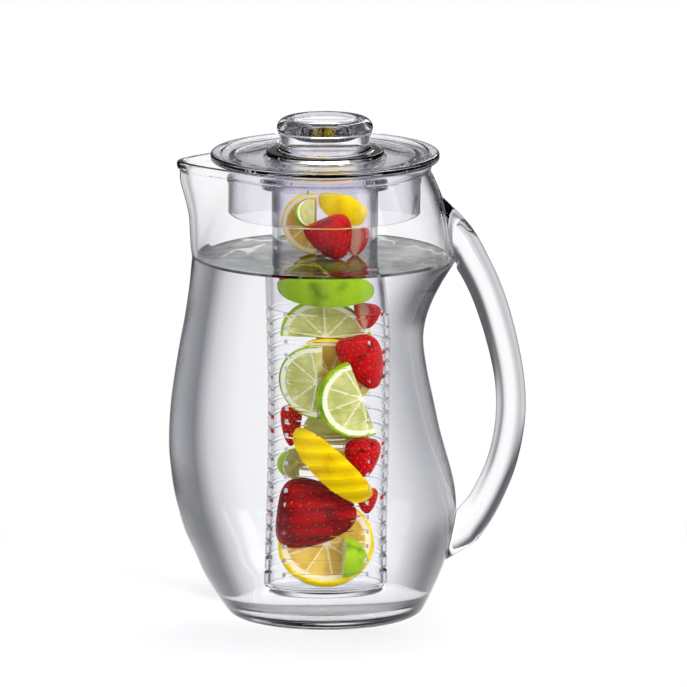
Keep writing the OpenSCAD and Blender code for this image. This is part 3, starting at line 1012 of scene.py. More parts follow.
@dataclass(frozen=True, kw_only=True)
class CitrusFinish(FruitFinish):
    """Cut citrus fruit with its rind, pith, flesh and, in a slice, its segments.

    Attributes:
        citrus: Kind of fruit.
        segments: 1 in a slice, whose segments show, and 0 elsewhere.
        rib_shade: Display colour by which its painted shade is multiplied, in bands along the ribs.
    """

    citrus: Citrus
    segments: float
    glow: float = 0.25
    roughness: float = 0.3
    spread: tuple[float, float, float] = (1.0, 0.8, 0.4)
    depth: float = 0.004
    relief: float = 0.0006
    strength: float = 0.35
    rib_shade: str = "DCC878"

    def make(self, group: bpy.types.NodeTree) -> bpy.types.Material:
        """Makes the material.

        Args:
            group: The citrus group.

        Returns:
            The material.
        """
        material, graph = new_material(self.name)
        inputs = {
            "Place": graph.attribute("place", "Vector"),
            "Share": graph.attribute("share"),
            "Segments": self.segments,
            **{part: linear(code) for part, code in zip(CITRUS_PARTS, self.citrus.value)},
        }
        fruit = graph.add("ShaderNodeGroup", inputs, node_tree=group)
        glow = graph.times(graph.minus(1.0, fruit.outputs["Rind"]), self.glow)
        # Bands of painted shade along the ribs, in place of the slots' refraction
        painted_shade = graph.attribute("painted_shade")
        colour = graph.mix(painted_shade, fruit.outputs["Color"], linear(self.rib_shade), "MULTIPLY")
        self.add_shader(graph, colour, fruit.outputs["Height"], glow)
        return material


@dataclass(frozen=True, kw_only=True)
class BerryFinish(FruitFinish):
    """Strawberry skin, and its flesh where it is cut.

    Attributes:
        skin: Display colour of the skin.
        deep: Its colour in random patches, and of the painted shade in pits, in rib bands and on larger
            berries.
        flesh: Display colour of the cut flesh near the skin.
        core: Its colour in the middle.
        patch_pace: Ripe patches to a radius.
        patch: Noise values between which a patch starts.
        ray_pace: Rays of the flesh to a radius.
        ray_reach: How far the rays move the core's edge, in shares of the way to the skin.
        core_edge: Shares between which the core ends.
        skin_edge: Shares between which the skin starts.
    """

    name: str = "strawberry"
    skin: str = "D20812"
    deep: str = "6E0108"
    flesh: str = "DC2A1C"
    core: str = "F2B49C"
    glow: float = 0.06
    roughness: float = 0.28
    spread: tuple[float, float, float] = (1.0, 0.3, 0.2)
    depth: float = 0.003
    relief: float = 0.0005
    strength: float = 0.15
    patch_pace: float = 1.3
    patch: tuple[float, float] = (0.45, 0.8)
    ray_pace: float = 7.0
    ray_reach: float = 0.5
    core_edge: tuple[float, float] = (0.25, 0.75)
    skin_edge: tuple[float, float] = (0.86, 0.97)

    def make(self) -> bpy.types.Material:
        """Makes the material.

        Returns:
            The material.
        """
        material, graph = new_material(self.name)
        place, share = graph.attribute("place", "Vector"), graph.attribute("share")
        patch = graph.step(graph.noise(place, self.patch_pace, 2.0), *self.patch)
        # The skin takes painted shade from its pits, rib bands and size, and darkens in random patches
        shade = graph.math("ADD", graph.attribute("painted_shade"), patch, True)
        skin = graph.mix(shade, linear(self.skin), linear(self.deep))
        rays = graph.noise(place, self.ray_pace, 3.0)
        reach = graph.plus(share, graph.times(graph.minus(rays, 0.5), self.ray_reach))
        flesh = graph.mix(graph.step(reach, *self.core_edge), linear(self.core), linear(self.flesh))
        colour = graph.mix(graph.step(share, *self.skin_edge), flesh, skin)
        self.add_shader(graph, colour, rays, self.glow)
        return material


@dataclass(frozen=True)
class PlainFinish:
    """One plain colour."""

    name: str
    colour: str
    roughness: float = 0.5

    def make(self) -> bpy.types.Material:
        """Makes the material.

        Returns:
            The material.
        """
        material, graph = new_material(self.name)
        inputs = {"Base Color": linear(self.colour), "Roughness": self.roughness}
        graph.surface(graph.add("ShaderNodeBsdfPrincipled", inputs).outputs[0])
        return material


# --- Clear pieces -----------------------------------------------------------


@dataclass
class PitcherBody:
    """The pitcher's wall, floor, bead and beak in one closed surface.

    Attributes:
        wall: The wall.
        around: Points in a ring.
        rows: Rings on each side of the wall.
        bead_rows: Rings on the bead.
        round_rows: Rings on the foot's round, the lip and the floor's round.
        lip_from: Angle at which the lip goes on from the bead, in degrees.
        lip_h: Height of the lip's round.
        lip_in: How far its ends stay inside the wall.
        inner_drop: How far below the top the wall's inside starts.
    """

    wall: Wall
    around: int = 240
    rows: int = 150
    bead_rows: int = 14
    round_rows: int = 9
    lip_from: float = 35.0
    lip_h: float = 0.9
    lip_in: float = 0.1
    inner_drop: float = 1.4

    def build(self, material: bpy.types.Material) -> bpy.types.Object:
        """Builds the mesh: rings from the foot's middle up outside, over the lip and down inside.

        Args:
            material: Clear material.

        Returns:
            The object.
        """
        s, wall = self.wall.size, self.wall
        a = np.radians(np.linspace(0, s.foot_end, self.round_rows))
        foot = s.foot_round * np.column_stack([np.sin(a), 1 - np.cos(a)]) + [s.foot_flat_r, 0]
        low = turn_points(foot, circle(self.around))
        under = disc(low[0], (0, 0, 0), DISC_STEPS[::-1])
        heights = np.linspace(wall.rows[0, 0], s.rim_z, self.rows)[1:-1]
        outer = wall.rings(heights, 0, self.around)
        rise = np.linspace(0, BEAD_END, self.bead_rows)
        proud = hermite(np.array(BEAD, float), rise)[:, 0] * s.bead_proud
        rim = wall.rings(s.rim_z + rise * s.bead_h, proud, self.around)
        a = np.radians(np.linspace(self.lip_from, 180, self.round_rows))
        across = self.lip_in - s.wall_t / 2 + (s.wall_t / 2 - self.lip_in) * np.cos(a)
        lip = wall.rings(s.body_h - self.lip_h + self.lip_h * np.sin(a), across, self.around)
        heights = np.linspace(s.body_h - self.inner_drop, s.floor_t + s.floor_round, self.rows)
        inner = wall.rings(heights, -s.wall_t, self.around)
        a = np.radians(np.linspace(0, 90, self.round_rows + 1))[1:]
        heights, inset = s.floor_t + s.floor_round * (1 - np.sin(a)), s.floor_round * (1 - np.cos(a))
        cove = wall.rings(heights, -s.wall_t, self.around, inset)
        floor = disc(cove[-1], (0, 0, s.floor_t), DISC_STEPS)
        rings = np.concatenate([under, low, outer, rim, lip, inner, cove, floor])
        return Soup(rings).make("pitcher_glass", material, smooth=60)


@dataclass
class Water:
    """The water, which reaches a little way into the wall so that no air shows between.

    Attributes:
        wall: The wall.
        overlap: How far it reaches into the wall.
        around: Points in a ring.
        rows: Rings up the side.
        round_rows: Rings on the floor's round.
        side_over: How far above the level the side ends.
        climb_h: How far its edge climbs the wall.
        climb_share: Share of the way in over which the climb fades.
        top_shares: Shares of the way in at which the top's rings lie.
    """

    wall: Wall
    overlap: float = 0.25
    around: int = 240
    rows: int = 120
    round_rows: int = 10
    side_over: float = 0.45
    climb_h: float = 0.5
    climb_share: float = 0.02
    top_shares: tuple[float, ...] = (0.03, 0.06, 0.12, 0.25, 0.45, 0.7, 0.9, 0.97, 1)

    def build(self, material: bpy.types.Material) -> bpy.types.Object:
        """Builds the mesh. The top's edge climbs the wall by an exponential of the way in.

        Args:
            material: Water material.

        Returns:
            The object.
        """
        s, wall = self.wall.size, self.wall
        extra = self.overlap - s.wall_t
        low = s.floor_t - self.overlap
        a = np.radians(np.linspace(90, 0, self.round_rows))
        heights = low + (s.floor_round + self.overlap) * (1 - np.sin(a))
        cove = wall.rings(heights, extra, self.around, s.floor_round * (1 - np.cos(a)))
        heights = np.linspace(s.floor_t + s.floor_round, s.water_z + self.side_over, self.rows)[1:]
        side = wall.rings(heights, extra, self.around)
        under = disc(cove[0], (0, 0, low), DISC_STEPS[::-1])
        edge = side[-1] * [1, 1, 0] + [0, 0, s.water_z]
        top = disc(edge, (0, 0, s.water_z), self.top_shares)
        top[..., 2] += np.exp(-np.array(self.top_shares) / self.climb_share)[:, None] * self.climb_h
        return Soup(np.concatenate([under, cove, side, top])).make("water", material, smooth=40)


@dataclass
class HandleBar:
    """The bent handle and its two weld pads.

    Attributes:
        wall: The wall that the pads follow.
        around: Points in a ring.
        steps: Rings from one row of the handle's table to the next.
        pull: How far a blend follows the bar's direction, in rows.
        blend_rows: Rings of a blend, with its ends.
        face_shares: Shares of the way out at which a pad's rings lie.
    """

    wall: Wall
    around: int = 48
    steps: int = 10
    pull: float = 0.18
    blend_rows: int = 8
    face_shares: tuple[float, ...] = (0.0, 0.15, 0.35, 0.55, 0.75, 0.9, 1.0)

    def ring(self, t: float) -> np.ndarray:
        """A section of the bar: an ellipse across the bar's direction.

        Args:
            t: Row number in the handle's table, which may lie between two rows.

        Returns:
            Points of the section.
        """
        s = HANDLE
        rows = np.column_stack([np.arange(len(HANDLE_ROWS)), HANDLE_ROWS])
        out, height, tilt, thick = hermite(rows, np.array([t]))[0]
        x = BELLY[-1, 1] * PITCHER.belly_r + out * s.out
        z = height * PITCHER.body_h
        a, lean = np.radians(circle(self.around)), math.radians(tilt)
        across = thick * s.thick / 2 * np.cos(a)
        y = -s.wide / 2 * np.sin(a)
        return np.stack([x + across * math.cos(lean), y, z + across * math.sin(lean)], axis=-1)

    def pad(self, shares: tuple[float, float]) -> np.ndarray:
        """The outline of a weld pad: an ellipse laid on the wall.

        Args:
            shares: Heights of its two ends, in shares of the pitcher's height.

        Returns:
            Points of the outline.
        """
        near, far = (share * PITCHER.body_h for share in shares)
        mid, half = (far + near) / 2, (far - near) / 2
        a = np.radians(circle(self.around))
        y, z = -HANDLE.wide / 2 * np.sin(a), mid + half * np.cos(a)
        return np.stack([self.wall.front_x(y, z) + HANDLE.weld_gap, y, z], axis=-1)

    def face(self, outline: np.ndarray) -> np.ndarray:
        """Rings that fill a weld pad from its centre out, along the wall.

        Args:
            outline: The pad's outline.

        Returns:
            The rings.
        """
        shares = np.array(self.face_shares)[:, None, None]
        rings = outline * shares + outline.mean(axis=0) * (1 - shares)
        rings[..., 0] = [self.wall.front_x(ring[:, 1], ring[:, 2]) + HANDLE.weld_gap for ring in rings]
        return rings

    def blend(self, pad: np.ndarray, bar: np.ndarray, after: np.ndarray) -> np.ndarray:
        """Rings that lead from a pad into the bar without a kink, by a quadratic curve.

        Args:
            pad: The pad's outline.
            bar: The bar's first ring.
            after: The bar's second ring.

        Returns:
            The rings between the two ends.
        """
        control = bar + (bar - after) * self.steps * self.pull
        u = np.linspace(0, 1, self.blend_rows)[1:-1, None, None]
        return pad * (1 - u) ** 2 + control * 2 * u * (1 - u) + bar * u**2

    def build(self, material: bpy.types.Material) -> bpy.types.Object:
        """Builds the mesh: rings from the upper pad's centre along the bar to the lower one's.

        Args:
            material: Clear material.

        Returns:
            The object.
        """
        last = len(HANDLE_ROWS) - 1
        bar = np.stack([self.ring(t) for t in np.linspace(0, last, last * self.steps + 1)])
        top, low = self.pad(PAD_TOP), self.pad(PAD_LOW)
        start, end = self.blend(top, bar[0], bar[1]), self.blend(low, bar[-1], bar[-2])[::-1]
        rings = np.concatenate([self.face(top), start, bar, end, self.face(low)[::-1]])
        return Soup(rings).make("handle_glass", material, smooth=50)


class Cells:
    """A ring-shaped grid of full and empty cells of angle, radius and height."""

    def __init__(self, turn: np.ndarray, radii: Sequence[float], heights: Sequence[float]) -> None:
        """Makes an empty grid between the angles, in degrees round to the first, radii and heights."""
        self.turn, self.radii, self.heights = turn, np.array(sorted(radii)), np.array(sorted(heights))
        self.full = np.zeros((len(turn) - 1, len(radii) - 1, len(heights) - 1), bool)

    def fill(
        self,
        angles: np.ndarray,
        radii: tuple[float, float],
        heights: tuple[float, float],
        full: bool = True,
    ) -> None:
        """Fills or empties the cells in a block.

        Args:
            angles: Which cells of angle take part.
            radii: Least and greatest radius.
            heights: Least and greatest height.
            full: Whether the cells become full.
        """
        r = (self.radii[:-1] + self.radii[1:]) / 2
        z = (self.heights[:-1] + self.heights[1:]) / 2
        inside = (r > radii[0]) & (r < radii[1])
        level = (z > heights[0]) & (z < heights[1])
        self.full[np.ix_(angles, inside, level)] = full

    def corners(self, angles: Sequence[Any], radii: Sequence[Any], heights: Sequence[Any]) -> np.ndarray:
        """Corner points of quads.

        Args:
            angles: Numbers of the angles at the four corners.
            radii: Numbers of the radii there.
            heights: Numbers of the heights there.

        Returns:
            Points, shaped (count, 4, 3).
        """
        a = np.radians(self.turn[np.stack(angles, axis=-1) % (len(self.turn) - 1)])
        r = self.radii[np.stack(radii, axis=-1)]
        z = self.heights[np.stack(heights, axis=-1)]
        return np.stack([r * np.cos(a), r * np.sin(a), z], axis=-1)

    def add_to(self, soup: Soup, cap_low: bool, cap_high: bool) -> None:
        """Adds the faces between full and empty cells.

        Args:
            soup: Where they go.
            cap_low: Whether the lowest cells are closed below.
            cap_high: Whether the highest cells are closed above.
        """
        banded = np.pad(self.full, ((0, 0), (1, 1), (0, 0)))
        stacked = np.pad(self.full, ((0, 0), (0, 0), (1, 1)))
        if not cap_low:
            stacked[:, :, 0] = stacked[:, :, 1]
        if not cap_high:
            stacked[:, :, -1] = stacked[:, :, -2]
        after = np.roll(self.full, -1, axis=0)
        for flip in (False, True):
            i, j, k = np.nonzero((banded[:, :-1] ^ flip) & (banded[:, 1:] ^ (not flip)))
            soup.add(self.corners((i, i + 1, i + 1, i), (j, j, j, j), (k, k, k + 1, k + 1)), flip=flip)
            i, j, k = np.nonzero((stacked[:, :, :-1] ^ flip) & (stacked[:, :, 1:] ^ (not flip)))
            soup.add(self.corners((i, i, i + 1, i + 1), (j, j + 1, j + 1, j), (k, k, k, k)), flip=flip)
            i, j, k = np.nonzero((self.full ^ flip) & (after ^ (not flip)))
            i = i + 1
            soup.add(self.corners((i, i, i, i), (j, j, j + 1, j + 1), (k, k + 1, k + 1, k)), flip=flip)


def full_turn(breaks: Sequence[float], step: float) -> np.ndarray:
    """Angles round a circle that include the given ones.

    Args:
        breaks: Angles in degrees that must be there.
        step: Greatest step between angles.

    Returns:
        Rising angles from the first break to the same plus 360.
    """
    marks = sorted({round(b % 360, 6) for b in breaks})
    marks.append(marks[0] + 360)
    parts = [
        np.linspace(a, b, max(2, math.ceil((b - a) / step) + 1))[:-1]
        for a, b in zip(marks, marks[1:])
    ]
    return np.append(np.concatenate(parts), marks[-1])


def within(angles: np.ndarray, start: float, span: float) -> np.ndarray:
    """Whether the middles between angles lie in a span."""
    middles = (angles[:-1] + angles[1:]) / 2
    return (middles - start) % 360 < span


@dataclass
class InfuserTube:
    """The slotted tube with its rounded end and three lugs.

    Attributes:
        size: Its sizes.
        step: Greatest angle between its columns of faces, in degrees.
        end_share: Share of the radius at which the end's inner ring lies.
    """

    size: TubeSize = TUBE
    step: float = 2.0
    end_share: float = 0.3

    def build(self, material: bpy.types.Material) -> bpy.types.Object:
        """Builds the mesh: a ring of cells with slots left empty, and two round ends below it.

        Args:
            material: Clear material.

        Returns:
            The object.
        """
        s = self.size
        starts = [-90 - s.slot_span / 2 + 360 * c / s.columns for c in range(s.columns)]
        lugs = [a - s.lug_span / 2 for a in LUG_ANGLES]
        breaks = [*starts, *(a + s.slot_span for a in starts), *lugs, *(a + s.lug_span for a in lugs)]
        turn = full_turn(breaks, self.step)
        slots = [s.bore_z + s.slot_pitch * (1 + k) for k in range(s.rows)]
        ends = (s.lug_z - s.lug_h / 2, s.lug_z + s.lug_h / 2)
        heights = [s.z + s.round, *slots, *(z + s.slot_h for z in slots), *ends, s.top_z]
        cells = Cells(turn, (s.bore_r, s.r, s.r + s.lug_out), heights)
        cells.fill(np.ones(len(turn) - 1, bool), (s.bore_r, s.r), (s.z, s.top_z))
        for a in starts:
            for z in slots:
                cells.fill(within(turn, a, s.slot_span), (s.bore_r, s.r), (z, z + s.slot_h), full=False)
        for a in lugs:
            cells.fill(within(turn, a, s.lug_span), (s.r, s.r + s.lug_out), ends)
        closed = np.where(turn == turn[-1], turn[0], turn)
        soft = s.round - s.t
        round_z = s.z + s.round
        under = [(0, s.z), (s.r * self.end_share, s.z), *arc(s.r - s.round, round_z, s.round, -90, 0)]
        inside = [
            (s.bore_r, round_z),
            *arc(s.bore_r - soft, s.bore_z + soft, soft, 0, -90),
            (s.bore_r * self.end_share, s.bore_z),
            (0, s.bore_z),
        ]
        soup = Soup(turn_points(np.array(under), closed), turn_points(np.array(inside), closed))
        cells.add_to(soup, cap_low=False, cap_high=True)
        return soup.make("tube_glass", material)


@dataclass
class LidCap:
    """The lid's plate, rim, skirt and bayonet collar in one closed surface.

    Attributes:
        size: Its sizes.
        step: Greatest angle between its columns of faces, in degrees.
        groove_play: Play of a lug in its groove, in degrees.
        entry_play: Play of a lug in its entry gap, in degrees.
        soft: Radius of its soft corners.
    """

    size: LidSize = LID
    step: float = 1.5
    groove_play: float = 2.0
    entry_play: float = 1.0
    soft: float = 0.5

    def build(self, material: bpy.types.Material) -> bpy.types.Object:
        """Builds the mesh: a ring of cells for the grooved collar, and a turned outline above it.

        Args:
            material: Clear material.

        Returns:
            The object.
        """
        s = self.size
        groove, entry = TUBE.lug_span / 2 + self.groove_play, TUBE.lug_span / 2 + self.entry_play
        sides = (-groove, TWIST + groove, TWIST - entry, TWIST + entry)
        turn = full_turn([a + side for a in LUG_ANGLES for side in sides], self.step)
        low, high = TUBE.lug_z - s.groove_h / 2, TUBE.lug_z + s.groove_h / 2
        collar_out, collar_z = s.collar_r + s.collar_t, s.z - s.collar_h
        cells = Cells(turn, (s.collar_r, s.groove_r, collar_out), (collar_z, low, high, s.z))
        cells.fill(np.ones(len(turn) - 1, bool), (s.collar_r, collar_out), (collar_z, s.z))
        for a in LUG_ANGLES:
            run = within(turn, a - groove, TWIST + 2 * groove)
            gap = within(turn, a + TWIST - entry, 2 * entry)
            cells.fill(run, (s.collar_r, s.groove_r), (low, high), full=False)
            cells.fill(gap, (s.collar_r, s.groove_r), (0, low), full=False)
        closed = np.where(turn == turn[-1], turn[0], turn)
        skirt_in, rim_in = s.skirt_r - s.skirt_t, s.r - s.rim_w
        top, plate, edge = s.z + s.rim_h, s.z + s.plate_t, s.rim_w / 4
        hub = [(0, s.z), (s.collar_r / 2, s.z), (s.collar_r, s.z)]
        rim = [
            (collar_out, s.z),
            (skirt_in, s.z),
            (skirt_in, s.z - s.skirt_h),
            (s.skirt_r, s.z - s.skirt_h),
            (s.skirt_r, s.z),
            *arc(s.r - edge, s.z + edge, edge, -90, 0),
            *arc(s.r - edge, top - edge, edge, 0, 90),
            *arc(rim_in + edge, top - edge, edge, 90, 150, 6),
            (rim_in, plate + s.land_t),
            (skirt_in, plate + s.land_t),
            (skirt_in - s.land_t, plate),
            (s.collar_r, plate),
            (0, plate),
        ]
        soup = Soup(turn_points(np.array(hub), closed), turn_points(soften(rim, self.soft), closed))
        cells.add_to(soup, cap_low=True, cap_high=False)
        return soup.make("lid_glass", material)


@dataclass
class KnobHead:
    """The hollow knob with its finger recess.

    Attributes:
        size: Its sizes.
        around: Points in a ring.
        soft: Radius of its soft corners.
        soft_rows: Points in a soft corner.
    """

    size: KnobSize = KNOB
    around: int = 144
    soft: float = 1.6
    soft_rows: int = 6

    def build(self, material: bpy.types.Material) -> bpy.types.Object:
        """Builds the mesh: an outline from the cavity's top down, out over the head and in.

        Args:
            material: Clear material.

        Returns:
            The object.
        """
        s = self.size
        head = s.h * s.head_share
        lip = s.lip_share * head
        waist, top = s.r - lip, s.z + s.h
        flare, recess, cavity = s.base_r - waist, top - s.recess_d, waist - s.t
        edge, hollow = s.edge_share * flare, s.hollow_share * flare
        path = [
            (0, recess - s.t),
            (s.recess_r - lip, recess - s.t),
            (cavity - s.crown_share * head, top - head - s.lip_share * s.t),
            (cavity, top - (1 + s.crown_share) * head),
            (cavity, s.z),
            (s.base_r, s.z),
            *arc(s.base_r - edge, s.z + s.foot_share * flare, edge, 0, 90, 6),
            *arc(waist + hollow, s.z + s.hollow_h_share * flare, hollow, 270, 180, 8),
            (waist, s.z + s.waist_share * flare),
            *arc(s.r - head, top - head, head, 0, 90, 14),
            *arc(s.recess_r + 2 * lip, top - lip, lip, 90, 180, 6),
            (s.recess_r, top - head),
            (s.recess_r - lip, recess),
            (0, recess),
        ]
        rings = turn_points(soften(path, self.soft, self.soft_rows), circle(self.around))
        return Soup(rings).make("knob_glass", material)


# --- Fruit ------------------------------------------------------------------


class Cut(Enum):
    """Shapes of cut fruit."""

    SLICE = "slice"
    WEDGE = "wedge"
    BERRY = "berry"


SLICE, WEDGE, BERRY = Cut


@dataclass(frozen=True)
class Piece:
    """One piece of fruit, in shares of the tube's bore radius.

    Attributes:
        node: Name of the CAD node that it stands for.
        cut: Its shape.
        place: Its place from the middle of the tube's floor.
        turn: Turn about its own middle, in degrees.
        lean: Lean after that turn, in degrees.
        size: Radius, length or thickness, and angle in degrees.
    """

    node: str
    cut: Cut
    place: tuple[float, float, float]
    turn: tuple[float, float, float]
    lean: tuple[float, float, float]
    size: tuple[float, float, float]

    @property
    def body(self) -> str:
        """The kind of fruit, from the node's name."""
        return self.node.split("_")[0]


FRUIT: tuple[Piece, ...] = (
    Piece("lemon_slice_low", SLICE, (0, -0.1, 0.84), (60, 0, 0), (0, 0, 0), (0.87, 0.22, 360)),
    Piece("lime_wedge_low", WEDGE, (0.3, -0.4, 0.6), (0, 0, -40), (-30, 0, 0), (0.45, 0.8, 80)),
    Piece("lime_chunk_low", WEDGE, (0, -0.05, 0.58), (85, 0, 90), (0, 0, 0), (0.85, 1.5, 56)),
    Piece("strawberry_large", BERRY, (0.55, 0.03, 1.35), (85, 0, -90), (-30, 0, 0), (0.72, 1.45, 180)),
    Piece("strawberry_small", BERRY, (0.72, 0.22, 1.36), (0, 0, 0), (0, 0, 0), (0.2, 0.5, 360)),
    Piece("lemon_chunk_low", WEDGE, (0.05, 0.2, 2.36), (90, 0, 90), (0, 0, 0), (0.76, 1.3, 38)),
    Piece("lemon_wedge_long", WEDGE, (0.1, -0.04, 2.47), (43, 0, -90), (0, 0, 0), (0.78, 2, 50)),
    Piece("strawberry_right", BERRY, (0.62, -0.12, 2.12), (0, 0, -90), (0, 0, 0), (0.33, 0.85, 360)),
    Piece("strawberry_left", BERRY, (-0.68, 0.4, 2.75), (0, 0, 0), (0, 0, 0), (0.2, 0.85, 360)),
    Piece("lime_chunk_left", WEDGE, (-0.52, 0.02, 2.46), (0, 0, 180), (0, 0, 0), (0.4, 0.62, 70)),
    Piece("lime_half_slice_front", SLICE, (0.6, -0.36, 3.9), (90, 162, 0), (0, 0, 20), (0.84, 0.22, 180)),
    Piece("lime_half_slice_left", SLICE, (-0.16, -0.2, 4.22), (90, 180, 0), (0, 0, -28), (0.8, 0.2, 180)),
    Piece("lime_chunk_mid", WEDGE, (0.14, 0.12, 3.07), (95, 0, 90), (0, 0, 0), (0.82, 1.2, 58)),
    Piece("lemon_half_slice_mid", SLICE, (0, 0.16, 4.32), (90, -30, 0), (0, 0, 0), (0.8, 0.2, 180)),
    Piece("strawberry_middle", BERRY, (0.815, -0.03, 4.02), (18, 0, -90), (0, 0, 0), (0.4, 1.25, 180)),
    Piece("lime_half_slice_pale", SLICE, (-0.05, 0.22, 5.14), (90, -90, 0), (0, 0, 0), (0.8, 0.2, 180)),
    Piece("strawberry_upper_left", BERRY, (-0.66, 0.35, 5.9), (0, 0, 0), (0, 0, 0), (0.2, 0.7, 360)),
    Piece("strawberry_upper_right", BERRY, (0.66, -0.16, 5.4), (0, 0, 35), (0, 0, 0), (0.3, 0.56, 180)),
    Piece("lime_wedge_cross", WEDGE, (0, -0.05, 6.27), (90, 0, -90), (0, 0, 0), (0.85, 1.75, 44)),
    Piece("lemon_chunk_upper", WEDGE, (0.15, 0.12, 6.33), (88, 0, 90), (0, 0, 0), (0.85, 1, 38)),
    Piece("lemon_slice_waterline", SLICE, (0, 0, 6.72), (0, 0, 0), (0, 0, 0), (0.9, 0.2, 360)),
    Piece("strawberry_half_top", BERRY, (0.33, -0.42, 6.85), (22, 0, -90), (0, 0, 0), (0.5, 1.02, 180)),
    Piece("lemon_half_slice_top", SLICE, (-0.2, 0.1, 7.58), (90, 180, 0), (0, 0, -15), (0.74, 0.2, 180)),
    Piece("lemon_wedge_top", WEDGE, (0.38, 0.42, 7.98), (64, 0, -90), (0, 0, 0), (0.7, 1.1, 50)),
    Piece("lime_wedge_top", WEDGE, (-0.21, -0.21, 7.88), (20, 0, 180), (0, 0, 0), (0.42, 0.6, 60)),
    Piece("strawberry_cut_top", BERRY, (0.62, 0, 6.84), (0, 0, 60), (0, 0, 0), (0.32, 0.62, 180)),
    Piece("lime_chunk_top", WEDGE, (-0.01, 0.35, 7.26), (82, 0, 90), (0, 0, 0), (0.6, 1.2, 60)),
    Piece("lemon_chunk_mid", WEDGE, (-0.1, 0.38, 4.05), (80, 0, 90), (0, 0, 0), (0.56, 1.2, 70)),
    Piece("strawberry_back", BERRY, (0.05, 0.675, 4.55), (0, 0, 90), (0, 0, 0), (0.3, 0.9, 360)),
)


# Pieces behind the front slots, given ribs and bands of painted shade in place of the slots' refraction:
# darkness of that shade, and the ribs' depth
RIBBED_AND_SHADED = {"lemon_wedge_long": 0.9, "strawberry_large": 0.35}
RIB_DEPTH = 0.28


def rotation(degrees: Sequence[float]) -> np.ndarray:
    """Matrix of a turn.

    Args:
        degrees: Angles about X, then Y, then Z.

    Returns:
        The product of the three plane rotations.
    """
    (cx, cy, cz), (sx, sy, sz) = np.cos(np.radians(degrees)), np.sin(np.radians(degrees))
    about_x = np.array([[1, 0, 0], [0, cx, -sx], [0, sx, cx]])
    about_y = np.array([[cy, 0, sy], [0, 1, 0], [-sy, 0, cy]])
    about_z = np.array([[cz, -sz, 0], [sz, cz, 0], [0, 0, 1]])
    return about_z @ about_y @ about_x


@dataclass(frozen=True)
class SeedSize:
    """Seeds of a berry and the pits that they lie in, in millimetres.

    A value whose name is also given with "_share" gets that share of the berry's radius added.

    Attributes:
        gap: Gap between seeds.
        first_share: Way from the tip to the first row, in gaps.
        row_share: Way from row to row, in gaps.
        last_share: Share of the outline at which the rows end.
        ahead: How far ahead along the outline the skin's slope is read.
        sway: Greatest turn of a seed out of its even place, in degrees.
        sway_pace: How that turn changes from seed to seed and from row to row, in radians.
        margin: How far seeds stay from a cut.
        half: Half width, half length and half height of a seed.
        rows: Points from end to end of a seed.
        around: Points round it.
        sink: How deep its middle lies.
        pit_w: Half width of a pit.
        pit_d: Depth of each seed's dimple, in half widths, and the darkness of its painted shade, in
            shares.
    """

    gap: float = 1.5
    gap_share: float = 0.19
    first_share: float = 0.9
    row_share: float = 0.85
    last_share: float = 0.9
    ahead: float = 0.3
    sway: float = 4.0
    sway_pace: tuple[float, float] = (7.3, 3.1)
    margin: float = 0.9
    half: tuple[float, float, float] = (0.24, 0.44, 0.22)
    rows: int = 6
    around: int = 8
    sink: float = 0.26
    sink_share: float = 0.01
    painted_shade_w: float = 0.6
    painted_shade_w_share: float = 0.03
    painted_shade_d: float = 0.55


